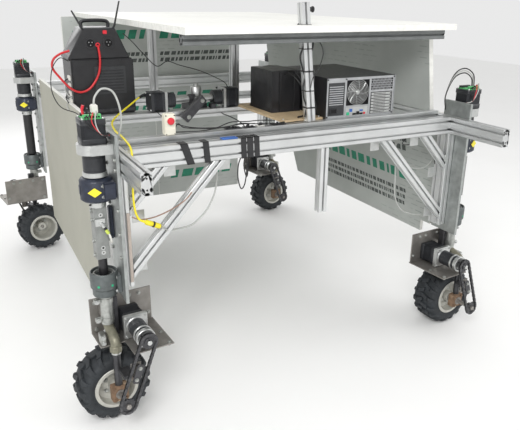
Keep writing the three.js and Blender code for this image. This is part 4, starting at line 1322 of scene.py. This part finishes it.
def make_beam_fittings():
    shape = Shape("beam_straps")
    strap(shape, -560, -532, 30)
    strap(shape, -470, -462, 24)
    for x, w in ((-312, 22), (-286, 26), (-255, 22)):
        strap(shape, x, x + 4, w)
    shape.box(-385, -322, 4, 34, FRAME_TOP + 0.4, FRAME_TOP + 5, "blue", 1)
    shape.box(-775, -763, -3.6, -0.4, 574, 852, "tan", 0.8)
    # joint plates and bolts where the braces, posts and beam meet
    for side in (-1, 1):
        for x, z in ((side * 720, 820), (side * 720, 620), (side * 590, 985), (side * 365, 985)):
            shape.slab([(x - 24, z - 24), (x + 24, z - 24), (x + 24, z + 24), (x - 24, z + 24)], 38.3,
                       42.3, "Y",
                       "silver", 0.8)
            for dx in (-12, 12):
                shape.bolt((x + dx, 42.3, z), Y_AXIS, 7, "zinc")
        for z in (885, 905):
            shape.box(side * 748, side * 760, -6, 30, z - 7, z + 7, "silver", 1.5)
            shape.bolt((side * 748, 10, z), (-side, 0, 0), 7, "dark_steel")
    shape.piece("frame", slot="profile")


def make_roof_posts():
    """Slotted posts and a rail that carry the roof behind the deck."""
    for name, x, y, z0, z1 in (("roof_post_middle", -18, 700, 1088, 1472),
                               ("roof_post_left", -306, 1100, 1088, 1472),
                               ("roof_post_right", 640, 1100, 1088, 1472)):
        bar = Shape(name)
        profile_bar(bar, (x, y, z0), (x, y, z1), X_AXIS, 1, 1, "alu_z")
        bar.piece("frame", slot="profile")
    bar = Shape("roof_cross_rail")
    # This rail under the roof's front edge is drawn in the dark slot_shadow grey rather than aluminium:
    # painted shade under the roof.
    profile_bar(bar, (-520, 60, 1452), (705, 60, 1452), Z_AXIS, 1, 1, "slot")
    bar.piece("frame", slot="profile")
    bar = Shape("deck_back_rail")
    profile_bar(bar, (-760, 1100, 1068), (760, 1100, 1068), Z_AXIS, 1, 1, "alu_x")
    bar.piece("frame", slot="profile")
    bar = Shape("deck_post_rail")
    profile_bar(bar, (-760, 700, 1068), (760, 700, 1068), Z_AXIS, 1, 1, "alu_x")
    bar.piece("frame", slot="profile")
    can = Shape("deck_can")
    can.turned([(0, 1125), (24, 1125), (26, 1128), (26, 1196), (22, 1202), (12, 1204), (12, 1214), (0, 1214)],
               (-245, 640, 0), Z_AXIS, "silver", 30)
    can.box(-290, -200, 610, 720, 1087.6, 1125, "dark_steel", 2)
    can.piece("frame", slot="profile")


def make_control_boards():
    """Small circuit boards and connector blocks among the leads on the front cross rail."""
    shape = Shape("deck_boards")
    draw = random.Random(31)
    for x, y, w, d, look in ((-330, 96, 70, 34, "grille"), (-250, 92, 46, 28, "dark_steel"),
                             (-120, 94, 60, 30, "black"),
                             (-190, 100, 34, 22, "white_cable")):
        shape.box(x, x + w, y, y + d, DECK + 0.6, DECK + 3, look, 0.5)
        for _ in range(5):
            px, py = x + draw.uniform(4, w - 12), y + draw.uniform(3, d - 9)
            shape.box(px, px + 9, py, py + 6, DECK + 2.6, DECK + draw.uniform(6, 14), "black", 0.6)
    shape.box(-200, -174, 560, 598, DECK + 0.5, DECK + 22, "dark_steel", 2)
    shape.piece("frame", slot="black_plastic")


LEADS = [
    # name, body, diameter, look, exit, far end, route
    ("grey_lead", "frame", 7, "grey_cable", (-655, -30, 791), "object",
     [(-652, -30, 790), (-628, -10, 768), (-600, 30, 748), (-554, 56, 737), (-502, 58, 743), (-466, 58, 767),
      (-436, 57, 797), (-413, 56, 836), (-398, 55, 877), (-392, 52, 930), (-390, 50, 985), (-388, 46, 1020)]),
    ("brown_lead", "frame", 5, "brown_cable", (-757, -8, 838), "object",
     [(-757, -8, 838), (-727, -14, 826), (-680, -14, 826), (-628, -12, 838), (-577, -10, 858),
      (-540, -6, 880),
      (-520, -4, 900)]),
    ("battery_lead", "frame", 4, "black_cable", (-560, 695, 1440), "object",
     [(-562, 696, 1442), (-530, 680, 1410), (-480, 660, 1350), (-430, 640, 1300), (-380, 640, 1320),
      (-320, 640, 1300),
      (-220, 628, 1270), (-120, 608, 1222), (-98, 602, 1196)]),
    ("deck_lead_a", "frame", 4, "black_cable", (-545, 100, 1115), "object",
     [(-540, 104, 1112), (-500, 108, 1109), (-440, 96, 1109), (-380, 112, 1109), (-320, 92, 1118),
      (-260, 110, 1122),
      (-200, 96, 1118), (-130, 108, 1112), (-70, 96, 1109), (0, 108, 1109), (24, 92, 1112)]),
    ("deck_lead_b", "frame", 4, "black_cable", (-545, 115, 1120), "object",
     [(-541, 112, 1120), (-520, 120, 1140), (-480, 170, 1112), (-430, 130, 1112), (-370, 112, 1112),
      (-300, 120, 1128), (-240, 98, 1130), (-170, 118, 1126), (-110, 100, 1124)]),
    ("deck_lead_c", "frame", 4, "black_cable", (-480, 560, 1120), "object",
     [(-470, 556, 1112), (-440, 470, 1080), (-380, 350, 1070), (-300, 230, 1086), (-250, 140, 1112),
      (-200, 104, 1118)]),
    ("case_lead", "frame", 7, "black_cable", (60, 298, 1290), "object",
     [(60, 297, 1292), (70, 262, 1296), (88, 230, 1260), (92, 205, 1200), (88, 190, 1150), (70, 170, 1120),
      (30, 150, 1118)]),
    ("case_lead_b", "frame", 7, "black_cable", (40, 298, 1280), "object",
     [(42, 297, 1282), (58, 258, 1282), (84, 222, 1240), (96, 198, 1184), (98, 180, 1132), (90, 160, 1119)]),
    ("strap_lead", "frame", 5, "black_cable", (-300, 30, 1006), "object",
     [(-300, 26, 1004), (-304, 40, 970), (-300, 52, 915), (-284, 58, 866), (-268, 58, 880), (-262, 52, 930),
      (-266, 40, 975), (-272, 28, 1004)]),
    ("strap_lead_b", "frame", 5, "black_cable", (-280, 30, 1006), "object",
     [(-282, 26, 1004), (-270, 60, 960), (-236, 110, 900), (-205, 160, 890), (-180, 200, 940),
      (-160, 240, 1010),
      (-150, 300, 1062), (-148, 400, 1078), (-146, 540, 1078), (-146, 566, 1080)]),
    ("right_grey_lead", "frame", 6, "grey_cable", (500, 45, 1005), "object",
     [(500, 50, 1008), (500, 62, 960), (508, 60, 880), (514, 58, 800), (520, 56, 720), (560, 54, 650),
      (640, 56, 612), (720, 60, 600), (756, 58, 606)]),
    ("right_tangle_a", "frame", 5, "grey_cable", (520, 45, 1006), "object",
     [(520, 50, 1008), (500, 66, 950), (520, 70, 900), (600, 66, 850), (690, 64, 840), (738, 62, 880),
      (752, 60, 930)]),
    ("right_tangle_b", "frame", 4, "black_cable", (560, 45, 1006), "object",
     [(560, 50, 1008), (546, 68, 970), (590, 72, 960), (650, 70, 985), (700, 66, 960), (740, 64, 900),
      (752, 60, 850)]),
    ("mast_lead", "frame", 4, "black_cable", (20, 82, 1460), "object",
     [(24, 82, 1462), (60, 60, 1440), (84, 58, 1390), (74, 70, 1330), (52, 78, 1290), (44, 80, 1250)]),
    ("wall_lead", "frame", 4, "black_cable", (-808, 704, 1332), "object",
     [(-806, 705, 1330), (-845, 690, 1345), (-885, 660, 1300), (-900, 620, 1220), (-880, 560, 1160),
      (-830, 500, 1140), (-818, 480, 1120)]),
]


def make_leads():
    for name, body, diameter, look, leaves, far_end, route in LEADS:
        cord(name, route, diameter, look, body=body)


def make_front_left_sensor():
    """A round proximity sensor on the front left sleeve, its lead tied back to it, and the bar behind."""
    axis = PLAN @ Matrix.Translation((-CORNER_X, FRONT_AXIS_Y, 0))
    shape = Shape("sleeve_sensor", axis @ Matrix.Rotation(math.radians(STEER_ANGLES["front_left"]), 4, "Z"))
    way = Vector((0.42, -0.3, -0.86)).normalized()
    spot = Vector((-2, -29, 836))
    shape.rod(spot, way, 22, 7, "silver", 20)
    shape.ring(spot + way * 8, way, 5, 7, 11, "silver", 6)
    shape.rod(spot + way * 22, way, 10, 5.5, "black", 18)
    shape.rod(spot + way * 32, way, 18, 6.2, "lime", 18, 2)
    shape.box(-22, 14, -30, -24, 822, 850, "silver", 1)
    tail = spot + way * 48
    route = [tail, tail + way * 12, (28, -42, 762), (32, -26, 752), (30, -8, 756), (23, 0, 766)]
    shape.tube(smooth_route(route, 6), 3.2, "white_cable", 10)
    shape.piece("front_left_steering", slot="column")
    bar = Shape("front_left_dark_bar", axis)
    bar.box(42, 57, 24, 52, 746, 872, "navy", 3)
    bar.piece("frame", slot="column")


def make_motor_plugs():
    """The plug and its arching lead on the front left motor, and the leads over the front right one."""
    plug = Shape("front_left_plug", PLAN @ Matrix.Translation((-CORNER_X, FRONT_AXIS_Y, 0)))
    plug.box(4, 26, -12, 16, 1222, 1252, "white_cable", 3)
    plug.tube([(-26, -10, 1224), (-28, -12, 1240), (-24, -14, 1254)], 5, "red", 10)
    plug.tube([(-14, -12, 1224), (-12, -16, 1244)], 3.4, "black", 10)
    route = [(15, 2, 1250), (22, 4, 1278), (48, 6, 1302), (84, 8, 1290), (104, 10, 1240), (108, 12, 1180),
             (100, 30, 1130)]
    plug.tube(smooth_route(route, 8), 3.6, "grey_cable", 10)
    plug.piece("frame", slot="motor")
    right = Shape("front_right_leads", PLAN @ Matrix.Translation((CORNER_X, FRONT_AXIS_Y, 0)))
    for k, look in enumerate(("black_cable", "grey_cable", "black_cable")):
        route = [(-10 + 6 * k, -26, 1222), (-24 + 5 * k, -30, 1262 + 8 * k), (-62, -22, 1286 + 10 * k),
                 (-104, -4, 1262 + 8 * k), (-116, 24, 1180), (-92, 40, 1112)]
        right.tube(smooth_route(route, 8), 2.8, look, 8)
    right.piece("frame", slot="motor")


for make in (make_beam_fittings, make_roof_posts, make_control_boards, make_leads, make_front_left_sensor,
             make_motor_plugs):
    make()
